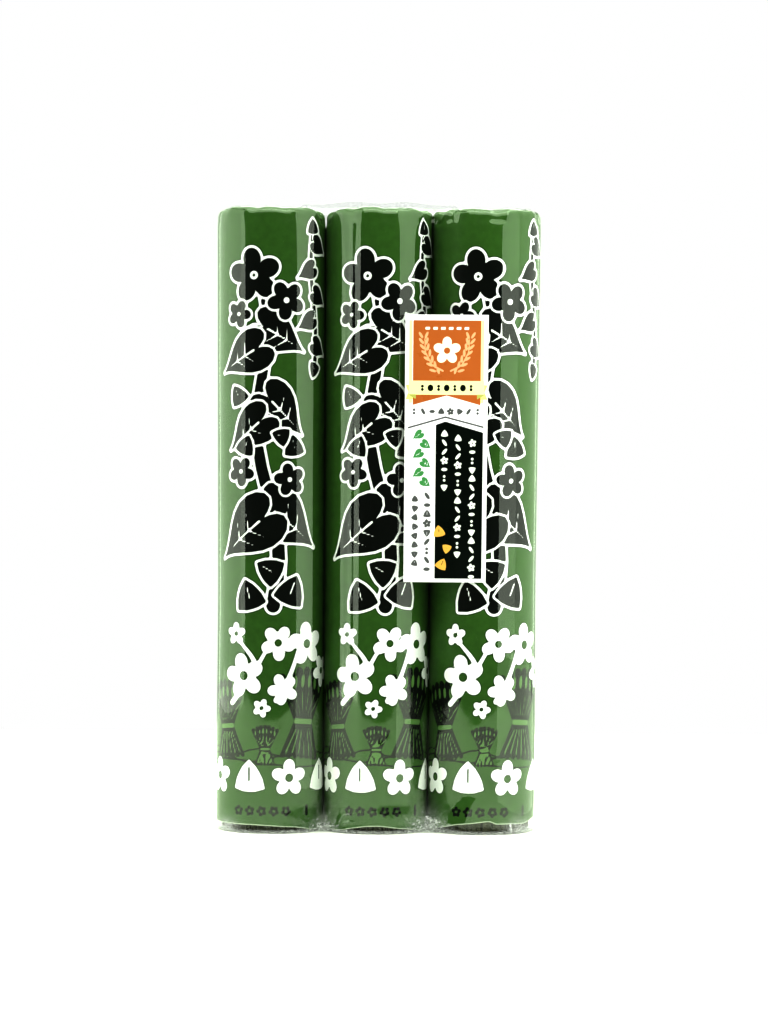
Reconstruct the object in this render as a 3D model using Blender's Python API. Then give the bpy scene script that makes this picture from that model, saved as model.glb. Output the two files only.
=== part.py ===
"""Dried soba noodles: three paper-wrapped bundles in one clear film pack with a sticker.

Metres, +Z up. The pack stands on its lower end, with its printed front towards -Y and the
bundles side by side along X. Every piece is drawn with straight sides, and narrowed
towards the foot at the end, as the stretched film pulls the whole pack in there.
"""
import math
import random

import bmesh
import bpy

# Noodles: flat-cut dried soba, all of one length
NOODLE_LENGTH = 0.190
NOODLE_WIDTH = 0.0013
NOODLE_THICKNESS = 0.0011
NOODLE_PITCH = 0.00150
END_UNEVENNESS = 0.0005
RIM_TURN = 25
RIM_UNEVENNESS = 0.2 * NOODLE_THICKNESS
RIM_SUNK = 0.4 * NOODLE_THICKNESS
INNER_TURN = 0.5
INNER_CLEARANCE = 1.2 * NOODLE_WIDTH

# Rolls: a bundle and its paper
ROLL_NAMES = ("left", "middle", "right")
ROLL_PITCH = 0.0332
PAPER_RADIUS = 0.01645
PAPER_WALL = 0.0006
PAPER_FOLD = 0.0015
PAPER_TOP_WAVE = 0.0003
PLEATS = 12
PLEAT_HEIGHT = 0.0002

# Waves of the folded rim: share of the height, waves round the rim, and shift with the roll
RIM_WAVES = ((0.6, 2, 1), (0.4, 5, 2))

# The paper stops short of the noodles' lower ends, at its own height on each roll:
# lowest height of its edge above the floor, how far it rises, and where (degrees from the front)
PAPER_EDGES = {
    "left": (0.0026, 0.0002, 0.0),
    "middle": (0.0014, 0.0018, -3.0),
    "right": (0.0019, 0.0023, 14.0),
}
EDGE_SHARPNESS = 3

# Film: the clear bag, shrunk tight round the three rolls
FILM_WALL = 0.0004
VALLEY_DIP = 0.0040
VALLEY_SHARPNESS = 1.25
VALLEY_END_DIP = 0.0020
VALLEY_END_REACH = 0.016
FOOT_ROUNDING = 0.0009
FOOT_ROUNDING_HEIGHT = 0.0012
FOOT_BEND = (0.4, 0.3)
CAVITY_ROUNDING = 0.8 * FOOT_ROUNDING
TOP_ROUNDING = 0.0017
SEAM_LENGTH = 0.050
SEAM_HEIGHT = 0.0029
SEAM_DEPTH = 0.0014
SEAM_SLOT = 0.0006
SEAM_END_SHARE = 0.55
SEAM_RIPPLE = 0.12
SEAM_RIPPLES = 9

# Sticker on the film's front, across the valley between the middle and right rolls
LABEL_LEFT = 0.0084
LABEL_RIGHT = 0.0340
LABEL_FOOT = 0.0775
LABEL_TOP = 0.1593
LABEL_THICKNESS = 0.0003

# Gap that neighbouring pieces keep, and how far the foot is pulled in against the top
GAP = 0.0003
FOOT_SCALE = 0.973

# Facets
ROUND_SIDES = 48
CAP_STEPS = 12
FRONT_STEPS = 24
LABEL_STEPS = 12
VALLEY_STEPS = 4
BUMP_SPACING = 2.2 * NOODLE_PITCH
SEED = 11

# Heights and radii that follow
NOODLE_FOOT = FILM_WALL + GAP
NOODLE_TOP = NOODLE_FOOT + NOODLE_LENGTH
BUNDLE_RADIUS = PAPER_RADIUS - PAPER_WALL - GAP
PAPER_UNDERSIDE = NOODLE_TOP + GAP
PAPER_TOP = PAPER_UNDERSIDE + PAPER_WALL
FILM_INSIDE_TOP = PAPER_TOP + PAPER_TOP_WAVE + PLEAT_HEIGHT + GAP
FILM_TOP = FILM_INSIDE_TOP + FILM_WALL
CAVITY_RADIUS = PAPER_RADIUS + GAP
FILM_RADIUS = CAVITY_RADIUS + FILM_WALL


def width_scale(z):
    """How wide the pack is at height z, against its full width at the top."""
    return FOOT_SCALE + (1 - FOOT_SCALE) * z / FILM_TOP


def depth_shift():
    """Move along Y that centres the pack and its sticker over the origin."""
    front = (FILM_RADIUS + GAP + LABEL_THICKNESS) * width_scale(LABEL_TOP)
    back = FILM_RADIUS * width_scale(FILM_TOP - TOP_ROUNDING)
    return (front - back) / 2


def narrow_to_foot(mesh):
    """Pull a finished mesh in towards the foot, and centre it front to back."""
    shift = depth_shift()
    for vertex in mesh.vertices:
        scale = width_scale(vertex.co.z)
        vertex.co.x *= scale
        vertex.co.y = vertex.co.y * scale + shift


def make_material(name, colour, roughness, alpha=1.0):
    """A plain Principled material in the part's own colour."""
    material = bpy.data.materials.new(name)
    material.use_nodes = True
    shader = material.node_tree.nodes["Principled BSDF"]
    shader.inputs["Base Color"].default_value = (*colour, 1.0)
    shader.inputs["Roughness"].default_value = roughness
    shader.inputs["Metallic"].default_value = 0.0
    shader.inputs["Alpha"].default_value = alpha
    return material


def make_object(name, bm, collection=None):
    """An object at the origin from a bmesh, with its faces pointing out."""
    bmesh.ops.recalc_face_normals(bm, faces=bm.faces)
    mesh = bpy.data.meshes.new(name)
    bm.to_mesh(mesh)
    bm.free()
    obj = bpy.data.objects.new(name, mesh)
    (collection or bpy.context.scene.collection).objects.link(obj)
    return obj


def apply_boolean(obj, operation, solver, cutter=None, collection=None):
    """Apply one Boolean modifier with an object or a collection."""
    modifier = obj.modifiers.new("fuse", "BOOLEAN")
    modifier.operation = operation
    modifier.solver = solver
    if collection:
        modifier.operand_type = "COLLECTION"
        modifier.collection = collection
    else:
        modifier.object = cutter
    with bpy.context.temp_override(object=obj, active_object=obj, selected_objects=[obj]):
        bpy.ops.object.modifier_apply(modifier=modifier.name)


def discard(objects):
    """Remove helper objects and their meshes."""
    for obj in list(objects):
        mesh = obj.data
        bpy.data.objects.remove(obj)
        bpy.data.meshes.remove(mesh)


def add_loop(bm, points):
    """A closed ring of vertices."""
    return [bm.verts.new(point) for point in points]


def bridge(bm, lower, upper):
    """Quads between two rings that have the same number of vertices."""
    count = len(lower)
    for i in range(count):
        j = (i + 1) % count
        bm.faces.new((lower[i], lower[j], upper[j], upper[i]))


def round_points(centre_x, radius, height):
    """Points of a circle round a roll's axis; height is a number or a function of the angle.

    Angles run from the front, -Y, towards +X.
    """
    points = []
    for i in range(ROUND_SIDES):
        angle = 2 * math.pi * i / ROUND_SIDES
        z = height(angle) if callable(height) else height
        points.append((centre_x + radius * math.sin(angle), -radius * math.cos(angle), z))
    return points


def add_noodle(collection, x, y, foot, top, turn):
    """One straight flat-cut noodle as a four-sided bar."""
    bm = bmesh.new()
    rings = []
    for z in (foot, top):
        ring = []
        for side_x, side_y in ((-1, -1), (1, -1), (1, 1), (-1, 1)):
            dx = side_x * NOODLE_WIDTH / 2
            dy = side_y * NOODLE_THICKNESS / 2
            px = x + dx * math.cos(turn) - dy * math.sin(turn)
            py = y + dx * math.sin(turn) + dy * math.cos(turn)
            ring.append(bm.verts.new((px, py, z)))
        rings.append(ring)
    bridge(bm, rings[0], rings[1])
    bm.faces.new(rings[0])
    bm.faces.new(rings[1])
    return make_object("noodle", bm, collection)


def make_bundle(name, centre_x, seed, material):
    """A bundle: a solid core with the noodles of its rim and lower end fused on."""
    rng = random.Random(seed)
    noodles = bpy.data.collections.new(name + "_noodles")
    bpy.context.scene.collection.children.link(noodles)

    # Rim noodles stand side by side round the core, over its whole height
    largest_turn = math.radians(RIM_TURN)
    reach = NOODLE_THICKNESS / 2 * math.cos(largest_turn) + NOODLE_WIDTH / 2 * math.sin(largest_turn)
    rim_radius = BUNDLE_RADIUS - reach
    core_radius = rim_radius - RIM_SUNK
    rim_drop = 2 * GAP + PAPER_WALL / 2
    rim_count = round(2 * math.pi * rim_radius / NOODLE_PITCH)
    for i in range(rim_count):
        angle = 2 * math.pi * i / rim_count
        radius = rim_radius - rng.uniform(0, RIM_UNEVENNESS)
        foot = NOODLE_FOOT + rng.uniform(0, END_UNEVENNESS)
        top = NOODLE_TOP - rim_drop - rng.uniform(0, END_UNEVENNESS)
        turn = angle + rng.uniform(-largest_turn, largest_turn)
        add_noodle(noodles, centre_x + radius * math.sin(angle), -radius * math.cos(angle), foot, top, turn)

    # Inner noodles that stand out of the lower end, on an even grid
    core_foot = NOODLE_FOOT + END_UNEVENNESS + GAP
    steps = int(core_radius / BUMP_SPACING)
    for row in range(-steps, steps + 1):
        for column in range(-steps, steps + 1):
            x = (column + 0.5 * (row % 2)) * BUMP_SPACING
            y = row * BUMP_SPACING
            if math.hypot(x, y) > core_radius - INNER_CLEARANCE:
                continue
            foot = NOODLE_FOOT + rng.uniform(0, END_UNEVENNESS)
            root = core_foot + rng.uniform(NOODLE_WIDTH / 2, NOODLE_WIDTH)
            add_noodle(noodles, centre_x + x, y, foot, root, rng.uniform(-INNER_TURN, INNER_TURN))

    # The core they are fused to
    bm = bmesh.new()
    lower = add_loop(bm, round_points(centre_x, core_radius, core_foot))
    upper = add_loop(bm, round_points(centre_x, core_radius, NOODLE_TOP))
    bridge(bm, lower, upper)
    bm.faces.new(lower)
    bm.faces.new(upper)
    bundle = make_object(name, bm)
    apply_boolean(bundle, "UNION", "MANIFOLD", collection=noodles)
    discard(noodles.objects)
    bpy.data.collections.remove(noodles)
    narrow_to_foot(bundle.data)
    bundle.data.materials.append(material)
    return bundle


def paper_edge(roll, angle):
    """Height of a paper's lower edge, at an angle from the front."""
    low, rise, peak = PAPER_EDGES[roll]
    nearness = (1 + math.cos(angle - math.radians(peak))) / 2
    return low + rise * nearness ** EDGE_SHARPNESS


def paper_crease(phase, angle):
    """Uneven height of the folded upper end: a slow wave round the rim, from -1 to 1."""
    return sum(share * math.sin(waves * angle + shift * phase) for share, waves, shift in RIM_WAVES)


def pleat(angle):
    """Saw-tooth height of the folded pleats round the upper end, from 0 to 1."""
    return (angle * PLEATS / (2 * math.pi)) % 1.0


def make_paper(name, roll, centre_x, phase, material):
    """Printed paper round a bundle: open at the foot, folded over and pleated at the top."""
    inner = PAPER_RADIUS - PAPER_WALL

    def edge(angle):
        return paper_edge(roll, angle)

    def fold(rise):
        return lambda angle: PAPER_TOP - PAPER_FOLD + rise + PAPER_TOP_WAVE * paper_crease(phase, angle)

    def flat(angle):
        return PAPER_TOP + PAPER_TOP_WAVE * paper_crease(phase, angle) + PLEAT_HEIGHT * pleat(angle)

    def middle(angle):
        return PAPER_TOP + PLEAT_HEIGHT * pleat(angle) / 2

    bm = bmesh.new()
    bend = math.sin(math.radians(45)) * PAPER_FOLD
    rings = [
        (inner - PAPER_FOLD / 2, PAPER_UNDERSIDE),
        (inner, PAPER_UNDERSIDE - PAPER_FOLD / 2),
        (inner, edge),
        (PAPER_RADIUS, edge),
        (PAPER_RADIUS, fold(0)),
        (PAPER_RADIUS - PAPER_FOLD + bend, fold(bend)),
        (PAPER_RADIUS - PAPER_FOLD, flat),
        (PAPER_RADIUS / 3, middle),
    ]
    loops = [add_loop(bm, round_points(centre_x, radius, height)) for radius, height in rings]
    for lower, upper in zip(loops, loops[1:]):
        bridge(bm, lower, upper)
    bm.faces.new(loops[0])
    bm.faces.new(loops[-1])
    paper = make_object(name, bm)
    narrow_to_foot(paper.data)
    paper.data.materials.append(material)
    return paper


def end_pull(z):
    """How strongly the closed ends pull the film into the valleys at height z, from 0 to 1."""
    nearest = min(z, FILM_TOP - z)
    return max(0.0, 1 - nearest / VALLEY_END_REACH) ** 2


def film_front(x, radius, z):
    """How far the film stands from the middle plane: drawn into the valleys between the rolls,
    deepest near the ends, and round beyond the outer crowns."""
    if abs(x) <= ROLL_PITCH:
        valley = math.sin(math.pi * x / ROLL_PITCH) ** 2
        end_dip = VALLEY_END_DIP * end_pull(z) * valley ** 2
        return radius - VALLEY_DIP * valley ** VALLEY_SHARPNESS - end_dip
    return math.sqrt(max(radius ** 2 - (abs(x) - ROLL_PITCH) ** 2, 0))


def film_outline(radius, z):
    """Outline of the film bag at height z, with its round sides of the given radius."""
    half = []
    for i in range(FRONT_STEPS):
        x = -ROLL_PITCH + 2 * ROLL_PITCH * i / FRONT_STEPS
        half.append((x, -film_front(x, radius, z), z))
    for i in range(CAP_STEPS):
        angle = math.pi * i / CAP_STEPS
        half.append((ROLL_PITCH + radius * math.sin(angle), -radius * math.cos(angle), z))
    return half + [(-x, -y, z) for x, y, z in half]


def make_film_body():
    """The bag's outer form, rounded in at the foot and at the top."""
    bm = bmesh.new()
    bend = TOP_ROUNDING * math.sin(math.radians(45))
    bend_in, bend_up = FOOT_BEND
    sections = [
        (FILM_RADIUS - FOOT_ROUNDING, 0),
        (FILM_RADIUS - FOOT_ROUNDING * bend_in, FOOT_ROUNDING_HEIGHT * bend_up),
        (FILM_RADIUS, FOOT_ROUNDING_HEIGHT),
    ]
    reaches = [VALLEY_END_REACH * step / VALLEY_STEPS for step in range(1, VALLEY_STEPS + 1)]
    sections += [(FILM_RADIUS, reach) for reach in reaches]
    sections += [(FILM_RADIUS, FILM_TOP - reach) for reach in reversed(reaches)]
    sections += [
        (FILM_RADIUS, FILM_TOP - TOP_ROUNDING),
        (FILM_RADIUS - TOP_ROUNDING + bend, FILM_TOP - TOP_ROUNDING + bend),
        (FILM_RADIUS - TOP_ROUNDING, FILM_TOP),
    ]
    loops = [add_loop(bm, film_outline(radius, z)) for radius, z in sections]
    for lower, upper in zip(loops, loops[1:]):
        bridge(bm, lower, upper)
    bm.faces.new(loops[0])
    bm.faces.new(loops[-1])
    return make_object("film", bm)


def make_cavity(centre_x):
    """The room that one roll takes inside the bag."""
    bm = bmesh.new()
    bend = PAPER_FOLD * math.sin(math.radians(45))
    top = FILM_INSIDE_TOP
    sections = [
        (CAVITY_RADIUS - CAVITY_ROUNDING, FILM_WALL),
        (CAVITY_RADIUS, FOOT_ROUNDING_HEIGHT),
        (CAVITY_RADIUS, top - PAPER_FOLD),
        (CAVITY_RADIUS - PAPER_FOLD + bend, top - PAPER_FOLD + bend),
        (CAVITY_RADIUS - PAPER_FOLD, top),
    ]
    loops = [add_loop(bm, round_points(centre_x, radius, z)) for radius, z in sections]
    for lower, upper in zip(loops, loops[1:]):
        bridge(bm, lower, upper)
    bm.faces.new(loops[0])
    bm.faces.new(loops[-1])
    return make_object("cavity", bm)


def make_bar(name, length, depth, foot, top_height):
    """An upright strip across the pack's middle; top_height gives its upper edge at x."""
    steps = FRONT_STEPS
    bm = bmesh.new()
    sections = []
    for i in range(steps + 1):
        x = length * (i / steps - 0.5)
        top = top_height(x)
        corners = ((-depth / 2, foot), (depth / 2, foot), (depth / 2, top), (-depth / 2, top))
        sections.append([bm.verts.new((x, y, z)) for y, z in corners])
    for near, far in zip(sections, sections[1:]):
        bridge(bm, near, far)
    bm.faces.new(sections[0])
    bm.faces.new(sections[-1])
    return make_object(name, bm)


def seam_edge(x):
    """Upper edge of the end seam: highest in the middle, with a slow ripple."""
    along = 2 * x / SEAM_LENGTH
    swell = SEAM_END_SHARE + (1 - SEAM_END_SHARE) * (1 - along ** 2)
    ripple = 1 - SEAM_RIPPLE * (1 + math.cos(SEAM_RIPPLES * along))
    return FILM_TOP + SEAM_HEIGHT * swell * ripple


def make_film(material):
    """The clear bag: closed round the rolls, with an end seam of two lips at the top.

    The slot between the lips is the bag's one way in.
    """
    film = make_film_body()
    seam = make_bar("seam", SEAM_LENGTH, SEAM_DEPTH, FILM_TOP - FILM_WALL / 2, seam_edge)
    apply_boolean(film, "UNION", "EXACT", cutter=seam)
    helpers = [seam]
    for i in range(len(ROLL_NAMES)):
        cavity = make_cavity((i - 1) * ROLL_PITCH)
        apply_boolean(film, "DIFFERENCE", "EXACT", cutter=cavity)
        helpers.append(cavity)
    slot_length = SEAM_LENGTH - 4 * SEAM_DEPTH
    slot_top = FILM_TOP + 2 * SEAM_HEIGHT
    slot = make_bar("slot", slot_length, SEAM_SLOT, FILM_INSIDE_TOP - FILM_WALL / 2, lambda x: slot_top)
    apply_boolean(film, "DIFFERENCE", "EXACT", cutter=slot)
    helpers.append(slot)
    discard(helpers)
    narrow_to_foot(film.data)
    film.data.materials.append(material)
    return film


def label_reach(x):
    """The sticker bridges the valley straight, and follows the film beyond the outer crown."""
    past = max(abs(x) - ROLL_PITCH, 0)
    return math.sqrt(FILM_RADIUS ** 2 - past ** 2) + GAP


def make_label(material):
    """The sticker: a thin sheet that lies on the film's crowns."""
    bm = bmesh.new()
    sections = []
    for i in range(LABEL_STEPS + 1):
        x = LABEL_LEFT + (LABEL_RIGHT - LABEL_LEFT) * i / LABEL_STEPS
        back = -label_reach(x)
        front = back - LABEL_THICKNESS
        corners = ((back, LABEL_FOOT), (front, LABEL_FOOT), (front, LABEL_TOP), (back, LABEL_TOP))
        sections.append([bm.verts.new((x, y, z)) for y, z in corners])
    for near, far in zip(sections, sections[1:]):
        bridge(bm, near, far)
    bm.faces.new(sections[0])
    bm.faces.new(sections[-1])
    label = make_object("label", bm)
    narrow_to_foot(label.data)
    label.data.materials.append(material)
    return label


def main():
    """Build the whole pack."""
    for obj in list(bpy.data.objects):
        bpy.data.objects.remove(obj)
    noodle_material = make_material("noodle", (0.33, 0.27, 0.19), 0.75)
    paper_material = make_material("paper", (0.05, 0.13, 0.02), 0.35)
    film_material = make_material("film", (0.92, 0.96, 0.92), 0.08, alpha=0.15)
    label_material = make_material("label", (0.90, 0.88, 0.84), 0.30)
    for i, roll in enumerate(ROLL_NAMES):
        centre_x = (i - 1) * ROLL_PITCH
        make_bundle("noodles_" + roll, centre_x, SEED + i, noodle_material)
        make_paper("paper_" + roll, roll, centre_x, float(i), paper_material)
    make_film(film_material)
    make_label(label_material)


main()
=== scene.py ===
"""Dried soba noodle pack: noodles, printed papers, clear film, sticker and a plain stage.

Metres, +Z up. The pack stands on its lower end with its printed front towards -Y. Each piece is
drawn with straight sides round its roll's axis, then narrowed towards the foot like the solids.
"""

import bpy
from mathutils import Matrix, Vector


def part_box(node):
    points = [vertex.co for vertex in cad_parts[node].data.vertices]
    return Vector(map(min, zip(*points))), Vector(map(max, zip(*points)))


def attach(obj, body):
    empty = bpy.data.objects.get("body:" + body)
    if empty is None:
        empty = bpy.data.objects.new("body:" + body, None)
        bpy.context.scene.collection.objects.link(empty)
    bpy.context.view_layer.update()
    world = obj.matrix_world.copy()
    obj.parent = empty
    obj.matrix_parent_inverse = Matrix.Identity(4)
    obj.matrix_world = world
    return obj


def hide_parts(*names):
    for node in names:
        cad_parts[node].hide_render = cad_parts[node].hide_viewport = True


bl_info = {
    "name": "Dried soba noodle pack",
    "version": (1, 0, 0),
    "blender": (4, 5, 0),
    "location": "View3D > Sidebar > Soba pack",
    "description": "Models a clear film pack of paper-wrapped soba bundles round its solids",
    "category": "Add Mesh",
}

import math

import bmesh
import bpy
import numpy as np
from bpy.props import FloatProperty, FloatVectorProperty, PointerProperty
from mathutils import Matrix, Vector

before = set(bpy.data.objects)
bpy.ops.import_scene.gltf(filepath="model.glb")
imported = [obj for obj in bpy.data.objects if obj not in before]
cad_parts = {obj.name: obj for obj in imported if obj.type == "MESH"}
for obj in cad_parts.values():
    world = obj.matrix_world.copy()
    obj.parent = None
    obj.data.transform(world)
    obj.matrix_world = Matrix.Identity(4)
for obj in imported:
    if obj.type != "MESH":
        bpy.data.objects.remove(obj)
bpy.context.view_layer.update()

MM = 0.001

# Layout that the solids share: the rolls' axes, and how the pack narrows towards its foot
ROLLS = ("left", "middle", "right")
ROLL_PITCH = 33.2 * MM
FOOT_SCALE = 0.973
FILM_TOP = 192.7 * MM
PAPER_TOP = 192.3 * MM
NOODLE_FOOT = 0.9 * MM
NOODLE_TOP = 190.7 * MM
DEPTH_SHIFT = (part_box("film")[0].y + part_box("film")[1].y) / 2


def width_scale(z):
    """How wide the pack is at height z, against its full width at the top."""
    return FOOT_SCALE + (1 - FOOT_SCALE) * z / FILM_TOP


def outer_swell(side, out_x, z):
    """How much fuller an outer roll is on its free side, where nothing presses on it."""
    swell = (0.35 + 0.50 * smooth_step((80 * MM - z) / (65 * MM))) * MM
    return swell * np.clip(side * out_x, 0, 1) ** 2


# Small tools for meshes


def deselect_all():
    """Leave nothing selected, so that the next operator acts on its own piece."""
    bpy.ops.object.select_all(action="DESELECT")


def read_points(obj):
    """The mesh's corners as an array of x, y, z rows."""
    points = np.empty(len(obj.data.vertices) * 3)
    obj.data.vertices.foreach_get("co", points)
    return points.reshape(-1, 3)


def write_points(obj, x, y, z):
    """Put the mesh's corners where three arrays say."""
    obj.data.vertices.foreach_set("co", np.column_stack((x, y, z)).ravel())
    obj.data.update()


def store_field(obj, name, values):
    """Keep one number for each corner, for the piece's material."""
    field = obj.data.attributes.new(name, "FLOAT", "POINT")
    field.data.foreach_set("value", values.astype(np.float32))


def narrow_to_foot(obj):
    """Pull a finished mesh in towards the foot, and centre it front to back, as the solids are."""
    x, y, z = read_points(obj).T
    scale = width_scale(z)
    write_points(obj, x * scale, y * scale + DEPTH_SHIFT, z)


def add_sheet(name, columns, rows):
    """A flat square grid to bend into a sheet; its place on the sheet runs from 0 to 1."""
    deselect_all()
    bpy.ops.mesh.primitive_grid_add(x_subdivisions=columns, y_subdivisions=rows, size=1.0)
    sheet = bpy.context.active_object
    sheet.name = name
    sheet.data.name = name
    x, y, _ = read_points(sheet).T
    return sheet, x + 0.5, y + 0.5


def pick_corners(obj, chosen):
    """In edit mode, select the corners that a mask chooses, with the edges between them."""
    bm = bmesh.from_edit_mesh(obj.data)
    for corner, pick in zip(bm.verts, chosen):
        corner.select = bool(pick)
    bm.select_flush_mode()
    bmesh.update_edit_mesh(obj.data)


def finish_piece(obj, material_slot, *nodes):
    """Ride a finished piece on the pack's one body, in place of the solids it stands for."""
    obj.data.shade_smooth()
    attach(obj, "root")
    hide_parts(*nodes)


def smooth_step(x):
    """Rise from 0 to 1 without corners while x runs from 0 to 1."""
    x = np.clip(x, 0.0, 1.0)
    return x * x * (3 - 2 * x)


def bump_at(x, centre, width):
    """A smooth hump of height 1."""
    return np.exp(-(((x - centre) / width) ** 2))


# Shapes of the print. Each takes places across and up in millimetres from the shape's own middle,
# and gives the distance to its edge, negative inside.


def turned(x, y, degrees):
    """Places seen from a frame turned anticlockwise."""
    angle = math.radians(degrees)
    return x * math.cos(angle) + y * math.sin(angle), -x * math.sin(angle) + y * math.cos(angle)


def disc(x, y, radius):
    return np.hypot(x, y) - radius


def oval(x, y, half_width, half_height):
    near = np.hypot(x / half_width, y / half_height)
    slope = np.hypot(x / half_width**2, y / half_height**2)
    return near * (near - 1) / np.maximum(slope, 1e-6)


def polygon(x, y, corners):
    """Distance to a closed outline given as x, y pairs."""
    nearest = np.full(x.shape, np.inf)
    inside = np.zeros(x.shape, dtype=bool)
    for (ax, ay), (bx, by) in zip(corners, corners[1:] + corners[:1]):
        ex, ey = bx - ax, by - ay
        along = np.clip(((x - ax) * ex + (y - ay) * ey) / (ex * ex + ey * ey), 0, 1)
        nearest = np.minimum(nearest, np.hypot(x - ax - along * ex, y - ay - along * ey))
        if ay != by:
            crosses = ((ay > y) != (by > y)) & (x < ax + (y - ay) * ex / ey)
            inside ^= crosses
    return np.where(inside, -nearest, nearest)


def stroke(x, y, points, thick, thin=None):
    """A brush stroke along points, whose half width runs from thick to thin."""
    thin = thick if thin is None else thin
    nearest = np.full(x.shape, np.inf)
    steps = len(points) - 1
    for i, ((ax, ay), (bx, by)) in enumerate(zip(points, points[1:])):
        ex, ey = bx - ax, by - ay
        along = np.clip(((x - ax) * ex + (y - ay) * ey) / (ex * ex + ey * ey), 0, 1)
        half = thick + (thin - thick) * (i + along) / steps
        nearest = np.minimum(nearest, np.hypot(x - ax - along * ex, y - ay - along * ey) - half)
    return nearest


def bar(x, y, half_width, half_height, corner=0.2):
    dx = np.abs(x) - half_width + corner
    dy = np.abs(y) - half_height + corner
    outside = np.hypot(np.maximum(dx, 0), np.maximum(dy, 0))
    return outside + np.minimum(np.maximum(dx, dy), 0) - corner


def blossom(x, y, radius, turn=0.0, eye=0.16):
    """Five round petals about a small open eye."""
    petals = np.full(x.shape, np.inf)
    for i in range(5):
        px, py = turned(x, y, turn + 72 * i)
        petals = np.minimum(petals, oval(px, py - radius * 0.60, radius * 0.34, radius * 0.40))
    heart = disc(x, y, radius * 0.34)
    return np.maximum(np.minimum(petals, heart), radius * eye - np.hypot(x, y))


def kernel(x, y, size, turn=0.0):
    """A three-cornered buckwheat grain with one ridge left open."""
    x, y = turned(x, y, turn)
    corners = []
    for i in range(3):
        for step in range(4):
            angle = math.radians(90 + 120 * i + 30 * step)
            reach = size * (1.0, 0.74, 0.66, 0.74)[step]
            corners.append((reach * math.cos(angle), reach * math.sin(angle)))
    body = polygon(x, y, corners) - size * 0.06
    ridge = stroke(x, y, [(0, size * 0.62), (0, -size * 0.10)], size * 0.05)
    return np.maximum(body, -ridge)


LEAF_STEPS = 30


def leaf(x, y, length, turn=0.0, vein=0.40):
    """A heart-shaped leaf that hangs from the origin and points down, with an open vein."""
    x, y = turned(x, y, turn)
    corners = []
    for i in range(LEAF_STEPS):
        t = 2 * math.pi * i / LEAF_STEPS
        across = 16 * math.sin(t) ** 3
        up = 13 * math.cos(t) - 5 * math.cos(2 * t) - 2 * math.cos(3 * t) - math.cos(4 * t)
        corners.append((across / 30 * length * 0.86, (up - 5) / 22 * length))
    if not vein:
        return polygon(x, y, corners)
    veins = stroke(x, y, [(0, -length * 0.06), (0, -length * 0.72)], vein, vein * 0.4)
    for side in (-1, 1):
        for start in (0.18, 0.40):
            vein_line = [(0, -length * (start + 0.12)), (side * length * 0.24, -length * (start - 0.02))]
            veins = np.minimum(veins, stroke(x, y, vein_line, vein * 0.8, vein * 0.3))
    return np.maximum(polygon(x, y, corners), -veins)


def sheaf(x, y, height, lean=0.0):
    """A tied sheaf: stalks that fan out above and below one band."""
    x, y = turned(x, y, lean)
    stalks = np.full(x.shape, np.inf)
    for i in range(7):
        fan = (i - 3) / 3
        top = (fan * height * 0.32, height * (0.50 - 0.10 * fan**2))
        waist = (fan * height * 0.09, -height * 0.08)
        foot = (fan * height * 0.24, -height * 0.48)
        stalks = np.minimum(stalks, stroke(x, y, [top, waist, foot], height * 0.045, height * 0.028))
    return stalks


def sheaf_lines(x, y, height, lean=0.0):
    """The lighter ties, ears and stalk lines drawn inside a sheaf."""
    x, y = turned(x, y, lean)
    lines = bar(x, y + height * 0.08, height * 0.13, height * 0.030)
    for i in range(6):
        fan = (i - 2.5) / 2.5
        ear = (fan * height * 0.25, height * (0.38 - 0.06 * fan**2))
        lines = np.minimum(lines, oval(x - ear[0], y - ear[1], height * 0.024, height * 0.075))
        upper = [(ear[0], ear[1] - height * 0.13), (fan * height * 0.09, height * 0.0)]
        lower = [(fan * height * 0.09, -height * 0.16), (fan * height * 0.20, -height * 0.44)]
        lines = np.minimum(lines, stroke(x, y, upper, 0.20, 0.14))
        lines = np.minimum(lines, stroke(x, y, lower, 0.20, 0.26))
    return lines


def draw(field, sheet, centre, reach, shape, *sizes, moat=None, **settings):
    """Add a shape to a field of distances, about a centre given in millimetres.

    A moat clears what was drawn before to that far round the shape.
    """
    x = sheet[0] - centre[0]
    y = sheet[1] - centre[1]
    near = np.abs(x) < reach
    near &= np.abs(y) < reach
    if near.any():
        drawn = shape(x[near], y[near], *sizes, **settings)
        before = field[near] if moat is None else np.maximum(field[near], moat - drawn)
        field[near] = np.minimum(before, drawn)


def draw_over(field, sheet, shape, *sizes):
    """Add a shape whose points are given on the sheet itself."""
    draw(field, sheet, (0, 0), math.inf, shape, *sizes)


def draw_all(field, sheet, shape, margin, rows, **settings):
    """Draw a shape at each row's centre, in its size and turn."""
    for centre, size, turn in rows:
        draw(field, sheet, centre, size + margin, shape, size, turn, **settings)


# The distance stored where nothing is drawn near, in millimetres
FAR = 9.0


def blank(sheet):
    """A field with nothing drawn in it yet."""
    return np.full(sheet[0].shape, FAR)


# The papers' print, in millimetres: across from the front's middle, and up from the floor. Round
# the roll, it starts again after the repeat.

REPEAT = 51.7


def wavy_line(start, end, sway, waves, steps=14):
    """Points of an upright line that sways from side to side."""
    points = []
    for i in range(steps + 1):
        t = i / steps
        x = start[0] + (end[0] - start[0]) * t + sway * math.sin(2 * math.pi * waves * t)
        points.append((x, start[1] + (end[1] - start[1]) * t))
    return points


# How far a bold shape clears what lies under it, in millimetres
MOAT = 0.75


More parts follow.
